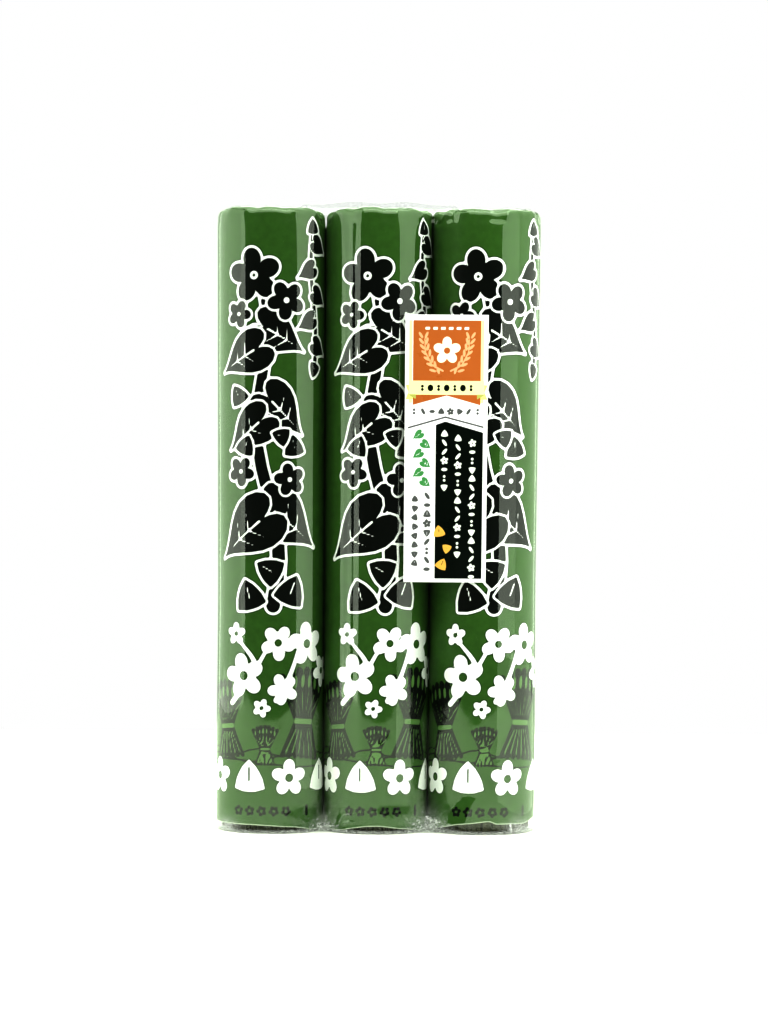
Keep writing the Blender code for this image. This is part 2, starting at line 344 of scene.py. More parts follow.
def draw_plant(field, sheet):
    """The bold plant that fills the main column: stem, leaves, blossoms and grains."""
    stem = wavy_line((1.0, 70.0), (-4.0, 168.0), 2.6, 1.4)
    draw_over(field, sheet, stroke, stem, 2.1, 1.3)
    draw_all(field, sheet, leaf, 4, (
        ((0.5, 99.5), 19.0, 52), ((-2.5, 96.5), 19.0, -50), ((0.0, 133.0), 15.0, 44),
        ((-3.0, 126.5), 14.0, -50), ((-1.5, 155.0), 14.5, 60), ((-4.5, 148.5), 14.5, -60),
    ), moat=MOAT)
    draw_all(field, sheet, blossom, 3, (
        ((6.2, 108.6), 5.0, 12), ((-9.6, 111.0), 4.6, 40), ((-5.2, 171.0), 8.4, 8),
        ((5.0, 163.4), 6.0, 30), ((-10.4, 159.2), 4.2, 50),
    ), moat=MOAT)
    draw_all(field, sheet, kernel, 3, (
        ((-6.6, 72.5), 5.2, 16), ((6.6, 74.0), 5.2, -22), ((0.2, 80.6), 4.6, 60), ((-10.5, 134.0), 3.4, 30),
        ((7.6, 118.5), 3.6, 8), ((3.6, 121.8), 3.0, 70), ((-8.0, 118.6), 3.4, -20),
    ), moat=MOAT)


def draw_sprig(field, sheet):
    """The slim sprig of the second column."""
    stem = wavy_line((15.4, 141.5), (14.6, 185.0), 1.0, 1.0)
    draw_over(field, sheet, stroke, stem, 0.9, 0.6)
    for i in range(5):
        up = 150.0 + 7.8 * i
        side = -1 if i % 2 else 1
        draw(field, sheet, (15.1 + side * 0.8, up), 8, leaf, 6.4, side * 62, vein=0, moat=0.5)
    draw(field, sheet, (14.8, 186.0), 5, kernel, 2.6, 5, moat=0.5)
    draw(field, sheet, (15.6, 142.6), 5, kernel, 2.6, 40, moat=0.5)


def draw_spray(field, sheet):
    """The white spray of blossoms under the plant."""
    for start, end in (
        ((-13.0, 40.0), (2.0, 60.0)), ((2.0, 41.0), (12.0, 62.0)), ((-4.0, 50.0), (-10.0, 60.0)),
    ):
        draw_over(field, sheet, stroke, wavy_line(start, end, 0.8, 0.7, 8), 0.9, 0.5)
    draw_all(field, sheet, blossom, 2, (
        ((-8.6, 48.4), 7.0, 12), ((2.6, 58.6), 5.6, 40), ((12.6, 58.2), 6.8, 5), ((4.2, 44.4), 5.0, 25),
        ((-11.4, 61.2), 3.6, 0), ((20.6, 49.6), 5.2, 30), ((-2.6, 38.6), 3.0, 50),
    ), eye=0.2)


def draw_field_row(dark, tint, sheet):
    """The dark row of tied sheaves on rolling ground, with lighter ties and ears."""
    sheaves = (((-15.5, 34.5), 23.0, 6), ((11.5, 36.5), 27.0, -5), ((-1.5, 27.0), 12.0, 0))
    draw_all(dark, sheet, sheaf, 0, sheaves)
    draw_all(tint, sheet, sheaf_lines, 0, sheaves)
    for i in range(3):
        ground = wavy_line((0, -26.0), (0, 26.0), 1.1, 1.0 + i, 26)
        line = [(y, 21.5 + 1.7 * i + x) for x, y in ground]
        draw_over(dark, sheet, stroke, line, 0.26)


def draw_white_row(field, sheet):
    """The row of bold white blossoms and grains near the foot."""
    step = REPEAT / 4
    for i in range(4):
        across = -19.6 + step * i
        if i % 2:
            draw(field, sheet, (across, 16.8), 8, kernel, 5.6, 0)
        else:
            draw(field, sheet, (across, 17.2), 8, blossom, 5.8, 0, eye=0.22)


def draw_small_row(field, sheet):
    """The row of small dark marks at the very foot."""
    for i in range(5):
        draw(field, sheet, (-10.4 + 3.9 * i, 7.0), 4, blossom, 1.7, 10 * i, eye=0.3)
    draw(field, sheet, (12.6, 7.0), 4, bar, 0.55, 1.7)


def print_paper(paper, across, up):
    """Store the print's distances on a paper; across and up are arrays in metres."""
    across = (across / MM + REPEAT / 2) % REPEAT - REPEAT / 2
    sheet = (across, up / MM)
    bold, white, dark, tint = (blank(sheet) for _ in range(4))
    draw_plant(bold, sheet)
    draw_sprig(bold, sheet)
    draw_spray(white, sheet)
    draw_white_row(white, sheet)
    draw_field_row(dark, tint, sheet)
    draw_small_row(dark, sheet)
    for name, field in (("bold", bold), ("white", white), ("dark", dark), ("tint", tint)):
        store_field(paper, name, field)


# Settings that a user would change


def length_setting(name, description, default):
    return FloatProperty(name=name, description=description, default=default, unit="LENGTH", precision=5)


def colour_setting(name, description, default):
    return FloatVectorProperty(
        name=name, description=description, default=default, subtype="COLOR", min=0, max=1
    )


class NoodleSettings(bpy.types.PropertyGroup):
    """The dried noodles."""

    width: length_setting("Width", "Width of a noodle", 1.3 * MM)
    thickness: length_setting("Thickness", "Thickness of a noodle", 1.1 * MM)
    bundle_radius: length_setting("Bundle radius", "Outer radius of a bundle", 15.9 * MM)
    # Painted shade: the noodle and husk colours are darkened and greened past real soba's grey brown, for
    # the shade under the papers' edges
    colour: colour_setting("Noodle", "Colour of the dried soba", (0.044, 0.046, 0.020))
    husk: colour_setting("Husk", "Colour of the buckwheat specks", (0.030, 0.025, 0.013))


class PaperSettings(bpy.types.PropertyGroup):
    """The printed papers."""

    radius: length_setting("Roll radius", "Outer radius of a wrapped roll", 16.62 * MM)
    green: colour_setting("Green", "Ground colour of the print", (0.058, 0.146, 0.027))
    ink: colour_setting("Black ink", "Colour of the bold motifs", (0.004, 0.007, 0.004))
    white: colour_setting("White", "Colour of outlines and white motifs", (0.90, 0.93, 0.88))
    tint: colour_setting("Tint", "Lighter green drawn inside the dark row", (0.12, 0.24, 0.07))
    outline: FloatProperty(
        name="Outline", description="Width of the white outline in millimetres",
        default=0.85, min=0.0, max=3.0,
    )


class FilmSettings(bpy.types.PropertyGroup):
    """The clear film."""

    radius: length_setting("Film radius", "Radius of the film round a roll", 16.95 * MM)
    roughness: FloatProperty(
        name="Roughness", description="Blur of the film's gloss", default=0.045, min=0.0, max=1.0,
    )


class LabelSettings(bpy.types.PropertyGroup):
    """The sticker."""

    red: colour_setting("Banner", "Colour of the banner", (0.50, 0.178, 0.043))
    gold: colour_setting("Gold", "Colour of the ribbon", (0.86, 0.86, 0.48))
    paper: colour_setting("Paper", "Colour of the bare sticker", (0.88, 0.89, 0.87))


class StageSettings(bpy.types.PropertyGroup):
    """The camera."""

    distance: length_setting("Distance", "From the camera to the middle of the pack", 0.92)
    height: length_setting("Height", "Height of the camera", 0.111)
    seen_height: length_setting("Seen height", "Height of the picture at the pack", 0.3128)


# Materials


def give(owner, socket, value):
    """Link a socket to what another node gives, or set its own number or colour."""
    if isinstance(value, bpy.types.NodeSocket):
        owner.node_tree.links.new(value, socket)
    elif socket.type == "RGBA":
        socket.default_value = (*value, 1.0)
    else:
        socket.default_value = value


def add_node(owner, kind, **values):
    """A new node of a material or world; an underscore in a socket's name stands for a space."""
    node = owner.node_tree.nodes.new(kind)
    for name, value in values.items():
        give(owner, node.inputs[name.replace("_", " ")], value)
    return node


def start_nodes(owner):
    """Give a material or world an empty node tree."""
    owner.use_nodes = True
    owner.node_tree.nodes.clear()
    return owner


def new_material(name):
    """An empty material, and the place in object coordinates that its patterns follow."""
    material = start_nodes(bpy.data.materials.new(name))
    return material, add_node(material, "ShaderNodeTexCoord").outputs["Object"]


def set_surface(material, shader):
    """Make a shader the material's surface."""
    add_node(material, "ShaderNodeOutputMaterial", Surface=shader)
    return material


def set_finish(material, **values):
    """Make one all-round shader the material's surface, with its sockets given."""
    return set_surface(material, add_node(material, "ShaderNodeBsdfPrincipled", **values).outputs["BSDF"])


def noise(material, place, scale, detail=3.0, roughness=0.5, stretch=(1, 1, 1)):
    """Noise at a scale in features a metre, stretched along the axes if wanted."""
    if stretch != (1, 1, 1):
        place = add_node(material, "ShaderNodeMapping", Vector=place, Scale=stretch).outputs["Vector"]
    texture = add_node(
        material, "ShaderNodeTexNoise", Vector=place, Scale=scale, Detail=detail, Roughness=roughness,
    )
    return texture.outputs["Fac"]


def spread(material, value, low, high, to_low, to_high):
    """Map a value's range to another."""
    node = add_node(
        material, "ShaderNodeMapRange", Value=value,
        From_Min=low, From_Max=high, To_Min=to_low, To_Max=to_high,
    )
    return node.outputs["Result"]


def join_values(material, operation, first, second):
    """One value from two; the second may be a plain number."""
    node = add_node(material, "ShaderNodeMath")
    node.operation = operation
    give(material, node.inputs[0], first)
    give(material, node.inputs[1], second)
    return node.outputs["Value"]


def mix_colour(owner, factor, under, over):
    """Lay one colour over another by a factor."""
    node = add_node(owner, "ShaderNodeMix")
    node.data_type = "RGBA"
    give(owner, node.inputs[0], factor)
    give(owner, node.inputs[6], under)
    give(owner, node.inputs[7], over)
    return node.outputs[2]


def shaded(colour, share):
    """A colour made paler or darker by a share."""
    return tuple(min(1.0, c * share) for c in colour)


def stored(material, field):
    """The numbers kept for a mesh's corners under a name."""
    node = add_node(material, "ShaderNodeAttribute")
    node.attribute_name = field
    return node.outputs["Fac"]


def inked(material, field, edge=0.0):
    """1 where a stored distance lies inside its shape, widened by edge, and 0 outside."""
    return join_values(material, "LESS_THAN", stored(material, field), edge)


def add_bump(material, height, distance):
    """A bump whose full height is a distance in metres."""
    return add_node(material, "ShaderNodeBump", Height=height, Distance=distance).outputs["Normal"]


def make_noodle_material(settings):
    """Dry soba with darker husk specks and fine rolled lines; dough and specks are darkened and greened as
    painted shade under the papers' edges.
    """
    material, place = new_material("dry_soba")
    cloud = spread(material, noise(material, place, 260, 4), 0.35, 0.65, 0.0, 1.0)
    # Both tones of the dough carry the painted shade of the noodle colour
    dough_in_painted_shade = mix_colour(material, cloud, settings.colour, shaded(settings.colour, 1.35))
    specks = spread(material, noise(material, place, 2600, 2, 0.7), 0.60, 0.66, 0.0, 0.8)
    lines = noise(material, place, 1800, 3, 0.6, (1.0, 1.0, 0.08))
    return set_finish(
        material,
        Base_Color=mix_colour(material, specks, dough_in_painted_shade, settings.husk),
        Roughness=0.78,
        Specular_IOR_Level=0.3,
        Normal=add_bump(material, lines, 0.00008),
    )


# A thin dark line that the print has round its outlines, in millimetres, and its colour
HALO = 0.25
HALO_GREEN = (0.012, 0.038, 0.008)


def make_paper_material(settings):
    """Green printed paper under a clear varnish, with its motifs from the stored distances."""
    material, place = new_material("printed_paper")
    mottle = spread(material, noise(material, place, 420, 4, 0.6), 0.35, 0.65, 0.0, 1.0)
    colour = mix_colour(material, mottle, settings.green, shaded(settings.green, 0.86))
    for field, edge, layer in (
        ("dark", 0.0, settings.ink),
        ("tint", 0.0, settings.tint),
        ("bold", settings.outline + HALO, HALO_GREEN),
        ("bold", settings.outline, settings.white),
        ("bold", 0.0, settings.ink),
        ("white", HALO, HALO_GREEN),
        ("white", 0.0, settings.white),
    ):
        colour = mix_colour(material, inked(material, field, edge), colour, layer)
    return set_finish(
        material,
        Base_Color=colour,
        Roughness=spread(material, noise(material, place, 90, 3), 0.3, 0.7, 0.38, 0.48),
        Specular_IOR_Level=0.12,
        Normal=add_bump(material, noise(material, place, 3200, 3, 0.65), 0.000012),
        Coat_Weight=0.06,
        Coat_Roughness=0.12,
        Coat_Normal=add_bump(material, noise(material, place, 55, 2), 0.00012),
    )


def make_paper_edge_material():
    """The unprinted back and cut edge of the paper; on the cut rim's outside band it also paints a
    highlight along the edge.
    """
    material, place = new_material("bare_paper")
    cloud = noise(material, place, 900, 4, 0.6)
    return set_finish(
        material,
        Base_Color=mix_colour(material, cloud, (0.68, 0.74, 0.60), (0.46, 0.54, 0.38)),
        Roughness=0.7,
        Normal=add_bump(material, noise(material, place, 3000, 3), 0.00002),
    )


# The most that the film mirrors, at its grazing edges, and the share left in the patches that paint shade
# by cutting its gloss
MIRROR_MOST = 0.55
SHINE_IN_SHADE_PATCHES = 0.15


def film_shine(material, place, waves):
    """How much of the film's light is mirrored: none inside the bag, little in the patches that paint shade
    by cutting the gloss.
    """
    fresnel = add_node(material, "ShaderNodeFresnel", IOR=1.85, Normal=waves)
    inside = add_node(material, "ShaderNodeNewGeometry").outputs["Backfacing"]
    capped = join_values(material, "MINIMUM", fresnel.outputs["Fac"], MIRROR_MOST)
    shine = join_values(material, "MULTIPLY", capped, spread(material, inside, 0.0, 1.0, 1.0, 0.0))
    ragged = spread(material, noise(material, place, 1100, 3, 0.7), 0.3, 0.7, -0.9, 0.9)
    # The patches of painted shade, with ragged borders, cut the gloss to a small share
    border = join_values(material, "ADD", stored(material, "shade_patch"), ragged)
    return join_values(material, "MULTIPLY", shine, spread(material, border, -0.4, 0.4, SHINE_IN_SHADE_PATCHES, 1.0))


def lay_over(material, share, under, over):
    """Mix a second shader over a first by a share."""
    node = add_node(material, "ShaderNodeMixShader", Fac=share)
    give(material, node.inputs[1], under)
    give(material, node.inputs[2], over)
    return node.outputs["Shader"]


def make_film_material(settings):
    """Clear glossy film, seen through but for its reflections, with white painted highlights on its
    creases, crinkles and foot fold, a painted haze of reflection low down, and milky in its end seam.
    """
    material, place = new_material("clear_film")
    waves = add_bump(material, noise(material, place, 90, 2, 0.5, (1.0, 1.0, 0.25)), 0.00006)
    clear = add_node(material, "ShaderNodeBsdfTransparent", Color=(0.985, 0.995, 0.985))
    gloss = add_node(
        material, "ShaderNodeBsdfGlossy",
        Color=(0.91, 1.0, 0.85), Roughness=settings.roughness, Normal=waves,
    )
    # White diffuse that paints highlights on creases, crinkles and the foot fold, and gives the seam its
    # milk
    milk_and_highlight = add_node(material, "ShaderNodeBsdfDiffuse", Color=(0.90, 0.93, 0.90))
    shine = film_shine(material, place, waves)
    sheet = lay_over(material, shine, clear.outputs["BSDF"], gloss.outputs["BSDF"])
    grain = spread(material, noise(material, place, 1500, 3, 0.7, (1.0, 1.0, 1.8)), 0.4, 0.65, 0.25, 1.0)
    # Where the stored field says, the painted highlights are laid over the clear film
    highlighted = join_values(material, "MULTIPLY", stored(material, "milky_highlight"), grain)
    return set_surface(material, lay_over(material, highlighted, sheet, milk_and_highlight.outputs["BSDF"]))


# The sticker's colour fields from the lowest layer up; the user sets those without a colour
LABEL_INKS = (
    ("stripe", (0.90, 0.88, 0.45)),
    ("tail", (0.72, 0.80, 0.30)),
    ("red", None),
    ("laurel", (0.84, 0.50, 0.28)),
    ("flower", (0.93, 0.90, 0.70)),
    ("gold", None),
    ("fold", (0.50, 0.52, 0.16)),
    ("black", (0.002, 0.007, 0.003)),
    ("cream", (0.80, 0.86, 0.76)),
    ("grain", (0.80, 0.50, 0.12)),
    ("green", (0.10, 0.34, 0.12)),
    ("grey", (0.13, 0.14, 0.13)),
)


def make_label_material(settings):
    """Glossy sticker paper with its colour fields."""
    material, place = new_material("printed_sticker")
    mottle = noise(material, place, 300, 3)
    colour = mix_colour(material, mottle, settings.paper, shaded(settings.paper, 0.97))
    own = {"red": settings.red, "gold": settings.gold}
    for name, ink in LABEL_INKS:
        colour = mix_colour(material, inked(material, name), colour, own.get(name, ink))
    return set_finish(
        material,
        Base_Color=colour,
        Roughness=spread(material, noise(material, place, 150, 3), 0.3, 0.7, 0.26, 0.36),
        Specular_IOR_Level=0.25,
        Normal=add_bump(material, noise(material, place, 2500, 3), 0.000008),
        Coat_Weight=0.12,
        Coat_Roughness=0.12,
    )


# Noodles

NOODLE_CUTS = 4
NOODLE_CREASE = math.radians(50)
NOODLE_GAP = 0.2 * MM
NOODLE_BOW = 0.12 * MM
RIM_DROP = 0.9 * MM

# How a bundle is packed, in noodle pitches: two rings in from the rim, then rows in the middle
RINGS = 2
RING_INSET = 0.52
RING_STEP = 0.98
RING_SPACING = 1.02
MIDDLE_INSET = 2.6
ROW_STEP = 0.87

# How unevenly the noodles stand: places and ends in millimetres, turns in radians
RING_JITTER = 0.12
RING_TURN = 0.4
ROW_JITTER = 0.10
ROW_TURN = 0.35
UNEVEN_FOOT = (0, 0.4)
UNEVEN_TOP = (0.2, 1.0)


def model_noodle(settings):
    """One flat-cut noodle, a metre long, with cuts along it to bow at."""
    deselect_all()
    bpy.ops.mesh.primitive_cube_add(size=1.0, location=(0, 0, 0))
    noodle = bpy.context.active_object
    x, y, z = read_points(noodle).T
    write_points(noodle, x * settings.width, y * settings.thickness, z + 0.5)
    bpy.ops.object.mode_set(mode="EDIT")
    bpy.ops.mesh.select_all(action="DESELECT")
    bm = bmesh.from_edit_mesh(noodle.data)
    for edge in bm.edges:
        low, high = (corner.co.z for corner in edge.verts)
        edge.select = abs(low - high) > 0.5
    bmesh.update_edit_mesh(noodle.data)
    bpy.ops.mesh.subdivide(number_cuts=NOODLE_CUTS)
    bpy.ops.object.mode_set(mode="OBJECT")
    return noodle


def bundle_places(radius, pitch, rng):
    """Where the noodles stand in a bundle, and how each is turned: two rings, then a packed middle."""
    places = []
    for ring in range(RINGS):
        at = radius - pitch * (RING_INSET + RING_STEP * ring)
        count = int(2 * math.pi * at / (pitch * RING_SPACING))
        start = rng.uniform(0, 1)
        for i in range(count):
            angle = 2 * math.pi * (i + start) / count
            reach = at - rng.uniform(0, RING_JITTER) * MM
            turn = angle + rng.uniform(-RING_TURN, RING_TURN)
            places.append((reach * math.sin(angle), -reach * math.cos(angle), turn))
    inner = radius - pitch * MIDDLE_INSET
    steps = int(inner / pitch) + 2
    for row in range(-steps, steps + 1):
        for column in range(-steps, steps + 1):
            x = (column + 0.5 * (row % 2)) * pitch
            y = row * pitch * ROW_STEP
            if math.hypot(x, y) < inner:
                jitter = rng.uniform(-ROW_JITTER, ROW_JITTER, 2) * MM
                quarter = rng.integers(0, 2) * math.pi / 2
                turn = quarter + rng.uniform(-ROW_TURN, ROW_TURN)
                places.append((x + jitter[0], y + jitter[1], turn))
    return places


def stand_noodle(shape, place, turn, foot, top, bow):
    """The corners of one noodle in its bundle: turned, bowed and set between two heights."""
    across, deep, share = shape.T
    swell = np.sin(math.pi * share)
    x = across * math.cos(turn) - deep * math.sin(turn) + place[0] + bow[0] * swell
    y = across * math.sin(turn) + deep * math.cos(turn) + place[1] + bow[1] * swell
    return np.column_stack((x, y, foot + share * (top - foot)))


class SOBA_OT_noodles(bpy.types.Operator):
    """Model the three bundles, noodle by noodle"""

    bl_idname = "soba.noodles"
    bl_label = "Noodles"

    def execute(self, context):
        settings = context.scene.soba_noodles
        material = make_noodle_material(settings)
        noodle = model_noodle(settings)
        shape = read_points(noodle)
        faces = [list(face.vertices) for face in noodle.data.polygons]
        pitch = settings.width + NOODLE_GAP
        for i, roll in enumerate(ROLLS):
            rng = np.random.default_rng(40 + i)
            axis = ((i - 1) * ROLL_PITCH, 0, 0)
            corners = []
            polygons = []
            for x, y, turn in bundle_places(settings.bundle_radius, pitch, rng):
                foot = NOODLE_FOOT + rng.uniform(*UNEVEN_FOOT) * MM
                top = NOODLE_TOP - rng.uniform(*UNEVEN_TOP) * MM
                if math.hypot(x, y) > settings.bundle_radius - pitch:
                    top -= RIM_DROP
                bow = rng.uniform(-NOODLE_BOW, NOODLE_BOW, 2)
                base = len(corners) * len(shape)
                corners.append(stand_noodle(shape, (x, y), turn, foot, top, bow) + axis)
                polygons.extend([base + corner for corner in face] for face in faces)
            name = "noodle_strands_" + roll
            mesh = bpy.data.meshes.new(name)
            mesh.from_pydata(np.concatenate(corners).tolist(), [], polygons)
            bundle = bpy.data.objects.new(name, mesh)
            context.collection.objects.link(bundle)
            mesh.materials.append(material)
            narrow_to_foot(bundle)
            finish_piece(bundle, "noodle", "noodles_" + roll)
            mesh.set_sharp_from_angle(angle=NOODLE_CREASE)
        bpy.data.objects.remove(noodle)
        return {"FINISHED"}


# Papers

# Height of each paper's lower edge in millimetres, at degrees from the front
PAPER_EDGES = {
    "left": ((-90, 2.5), (-51, 2.65), (-18, 2.65), (0, 2.45), (30, 1.85), (51, 0.8), (90, 0.7)),
    "middle": ((-90, 0.7), (-41, 0.8), (-28, 1.6), (-10, 2.4), (5, 2.5), (28, 1.6), (58, 0.7), (90, 0.7)),
    "right": (
        (-68, 0.8), (-40, 2.2), (-27, 3.0), (-10, 3.5), (4, 4.05), (10, 4.1),
        (17, 3.3), (36, 3.2), (54, 3.0), (70, 4.0), (90, 4.6),
    ),
}

# A paper's grid of corners, its cut edge and the strip turned in at the foot, and the lap behind
PAPER_COLUMNS = 214
PAPER_ROWS = 400
CUT_EDGE = 0.32 * MM
TURN_IN = 4 * MM
THICKNESS = 0.22 * MM
PAPER_OVERLAP = 6 * MM
LAP_STEP = 0.14 * MM
LAP_RAMP = 1 * MM

# The fold over the top: its radius, how far down the rim's dents reach, and how the pleats gather
PAPER_FOLD = 2.2 * MM
RIM_REACH = 4 * MM
PLEATS = 14
PLEAT_HOLE = 0.6 * MM
PLEAT_START = 4 * MM
PLEAT_TWIST = 9 * MM
PLEAT_DEPTH = 0.30 * MM
PLEAT_SINK = 0.1 * MM
PLEAT_LEVEL = 6 * MM
RIM_CREASE = 0.10 * MM

# Dents in the folded rim: where (degrees from the front), how wide, and how deep
RIM_DENTS = {
    "left": ((-14, 16, 0.30), (12, 20, 0.55), (34, 14, 0.25), (76, 30, 1.5), (-80, 20, 0.4)),
    "middle": ((-76, 34, 1.5), (-30, 16, 0.5), (8, 26, 0.35), (30, 14, 0.5), (62, 22, 0.6)),
    "right": ((-66, 26, 1.5), (-38, 10, 0.9), (-10, 16, 0.5), (8, 22, 1.1), (44, 16, 0.5), (70, 16, 0.7)),
}

# How far each roll is turned, so that its print starts a little further round
PRINT_TURNS = {"left": 0.0, "middle": -1.7 * MM, "right": -2.4 * MM}


def paper_edge(roll, angle):
    """Height of a paper's lower edge, at an angle from the front."""
    at, heights = zip(*PAPER_EDGES[roll])
    return np.interp(np.degrees(angle), at, heights, period=360) * MM


def rim_dent(roll, angle):
    """How far the folded rim is pressed down, at an angle from the front."""
    degrees = (np.degrees(angle) + 180) % 360 - 180
    depth = 0.16 * MM * (1 + np.sin(7 * angle + len(roll))) + 0.08 * MM * np.sin(19 * angle + 2 * len(roll))
    for centre, width, deep in RIM_DENTS[roll]:
        depth = depth + deep * MM * bump_at(degrees, centre, width / 2)
    return depth


def roll_shape(i, angle, up):
    """Slight unevenness of a hand-tight roll, in metres, pressed flat where two rolls touch."""
    slow = 0.05 * np.sin(2 * angle + 1.3 * i + up * 18) + 0.03 * np.sin(3 * angle - up * 40 + i)
    uneven = (slow + 0.015 * np.sin(11 * angle + up * 25 + 2 * i)) * MM
    return uneven * (1 - np.sin(angle) ** 8)


class SOBA_OT_papers(bpy.types.Operator):
    """Wrap each bundle in its printed paper, fold the top over and leave the foot open"""

    bl_idname = "soba.papers"
    bl_label = "Papers"

    def execute(self, context):
        settings = context.scene.soba_papers
        printed = make_paper_material(settings)
        bare = make_paper_edge_material()
        for i, roll in enumerate(ROLLS):
            paper = self.wrap(settings, i, roll)
            self.turn_in_edge(settings, paper, i)
            paper.data.materials.append(printed)
            paper.data.materials.append(bare)
            self.mark_bare_and_highlight_faces(paper)
            narrow_to_foot(paper)
            finish_piece(paper, "paper", "paper_" + roll)
        return {"FINISHED"}

    def wrap(self, settings, i, roll):
        """Bend a flat sheet round the roll, and fold its upper end in over the noodles."""
        radius = settings.radius
        paper, right, up = add_sheet("printed_wrap_" + roll, PAPER_COLUMNS, PAPER_ROWS)
        around = (right - 0.5) * (2 * math.pi * radius + PAPER_OVERLAP)
        angle = around / radius
        straight = PAPER_TOP - PAPER_FOLD
        arc = PAPER_FOLD * math.pi / 2
        inward = radius - PAPER_FOLD - PLEAT_HOLE
        length = up * (straight + arc + inward)
        # The lowest row is a thin band of bare paper that paints a highlight along the cut edge
        length = np.where(np.rint(up * PAPER_ROWS) == 1, CUT_EDGE, length)

        # The side, from its own lower edge up to where the fold begins
        edge = paper_edge(roll, angle)
        side = np.minimum(length / straight, 1.0)
        rim = rim_dent(roll, angle) * smooth_step((length - straight + RIM_REACH) / RIM_REACH)
        height = edge + side * (straight - edge) - rim
        uneven = roll_shape(i, angle, height)
        reach = radius + uneven * (1 - smooth_step((length - straight) / arc))
        reach = reach - 0.5 * rim + outer_swell(i - 1, np.sin(angle), height)

        # The fold, then the pleats that close the end
        bend = np.clip((length - straight) / arc, 0, 1) * math.pi / 2
        past = np.maximum(length - straight - arc, 0)
        reach = reach - PAPER_FOLD * (1 - np.cos(bend)) - past
        height = height + PAPER_FOLD * np.sin(bend)
        gather = smooth_step(past / PLEAT_START)
        twist = angle * PLEATS / (2 * math.pi) + past / PLEAT_TWIST
        height = height + gather * (PLEAT_DEPTH * np.abs((twist % 1.0) * 2 - 1) - PLEAT_SINK)
        height = height + rim * 0.6 * smooth_step(past / PLEAT_LEVEL)
        start = smooth_step((length - straight + 3 * MM) / (5 * MM)) * (1 - gather)
        reach = reach + start * RIM_CREASE * np.sin(angle * 23 + 3 * np.sin(angle * 5 + i))

        # The lap down the back, with the right end outside
        lap = smooth_step((around - math.pi * radius + PAPER_OVERLAP / 2 + LAP_RAMP) / LAP_RAMP)
        reach = reach + LAP_STEP * lap * (1 - gather)
        print_paper(paper, around + PRINT_TURNS[roll], height)
        x = (i - 1) * ROLL_PITCH + reach * np.sin(angle)
        write_points(paper, x, -reach * np.cos(angle), height)
        return paper

    def turn_in_edge(self, settings, paper, i):
        """Give the open foot the paper's thickness, and a stretch of its bare inner side."""
        flat = np.arange(len(paper.data.vertices)) <= PAPER_COLUMNS
        inner = 1 - THICKNESS / settings.radius
        bpy.ops.object.mode_set(mode="EDIT")
        pick_corners(paper, flat)
        bpy.ops.mesh.extrude_region_move()
        centre = ((i - 1) * ROLL_PITCH, 0, 0)
        bpy.ops.transform.resize(value=(inner, inner, 1), center_override=centre)
        bpy.ops.mesh.extrude_region_move(TRANSFORM_OT_translate={"value": (0, 0, TURN_IN)})
        bpy.ops.object.mode_set(mode="OBJECT")

    def mark_bare_and_highlight_faces(self, paper):
        """The turned-in faces, last in the mesh, and the cut rim, its first row, carry no print; the rim's
        bare band also paints a highlight along the cut edge.
        """
        order = np.arange(len(paper.data.polygons))
        index = ((order >= PAPER_COLUMNS * PAPER_ROWS) | (order < PAPER_COLUMNS)).astype(np.int32)
        paper.data.polygons.foreach_set("material_index", index)


# Film

# The film's slopes from a crown to the valley, as millimetres and slope, on the left and the right
# flank of each valley, then the valley's depth; nearer the crown than the first it lies on the roll
VALLEYS = (
    (
        ((7.0, 0.45), (7.8, 0.46), (8.3, 0.58), (12.4, 0.72), (13.1, 0.42), (16.6, 0.15)),
        ((0.5, 0.02), (4.0, 0.16), (5.6, 0.58), (10.8, 0.60), (11.6, 0.42), (16.6, 0.2)),
        6.3,
    ),
    (
        ((9.8, 0.71), (10.6, 0.36), (16.6, 0.15)),
        ((7.4, 0.485), (12.0, 0.50), (16.6, 0.3)),
        5.2,
    ),
)
FLANK_STEPS = 200

# How much deeper the closed ends pull the valleys, and the end seam
VALLEY_END_DIP = 2.0 * MM
VALLEY_END_REACH = 16 * MM
FILM_SINK = 0.25 * MM
SEAM_LENGTH = 50 * MM
SEAM_HEIGHT = 2.9 * MM
SEAM_ENDS = 1.5 * MM
SEAM_WAVE = 0.12
SEAM_WAVES = 9
SEAM_LEVEL = 0.55
SEAM_BULGE = 0.45
WELD = 0.002 * MM

# Where the film is loose near the foot: its flat-sided dimples and its slow waves
FACETS = 60
FACET_TOP = 42 * MM
FACET_DEPTH = 0.055
FACET_REACH = 50 * MM
FACET_SLOPES = (0.6, 1.5)
FACET_LEAN = 0.6
FACET_STRETCH = 0.6
LOOSE_TOP = 40 * MM
LOOSE_FADE = 30 * MM
LOOSE_FOOT = 6 * MM
SLACK_WAVE = 0.05 * MM

# Folds at the valleys' ends: how far they reach, the depth of the fan's and the cross folds in
# millimetres, how close they stand, and how much each kind sways
FOLD_REACH = 8.5 * MM
FOLD_START = 1.5 * MM
TOP_FOLDS = 0.15
FAN_DEPTH = 0.70
CROSS_DEPTH = 0.25
FANS = 4.2
FAN_SHIFT = 90
FAN_SWAY = 0.35
FAN_SWAY_STEP = 1.1 * MM
CROSS_STEP = 2.3 * MM
CROSS_SWAY = 0.5


def end_pull(z):
    """How strongly the closed ends pull the film into the valleys: most at the foot."""
    foot = np.maximum(0.0, 1 - np.maximum(z, 0) / VALLEY_END_REACH) ** 2
    top = np.maximum(0.0, 1 - np.maximum(FILM_TOP - z, 0) / VALLEY_END_REACH) ** 2
    return foot + 0.3 * top


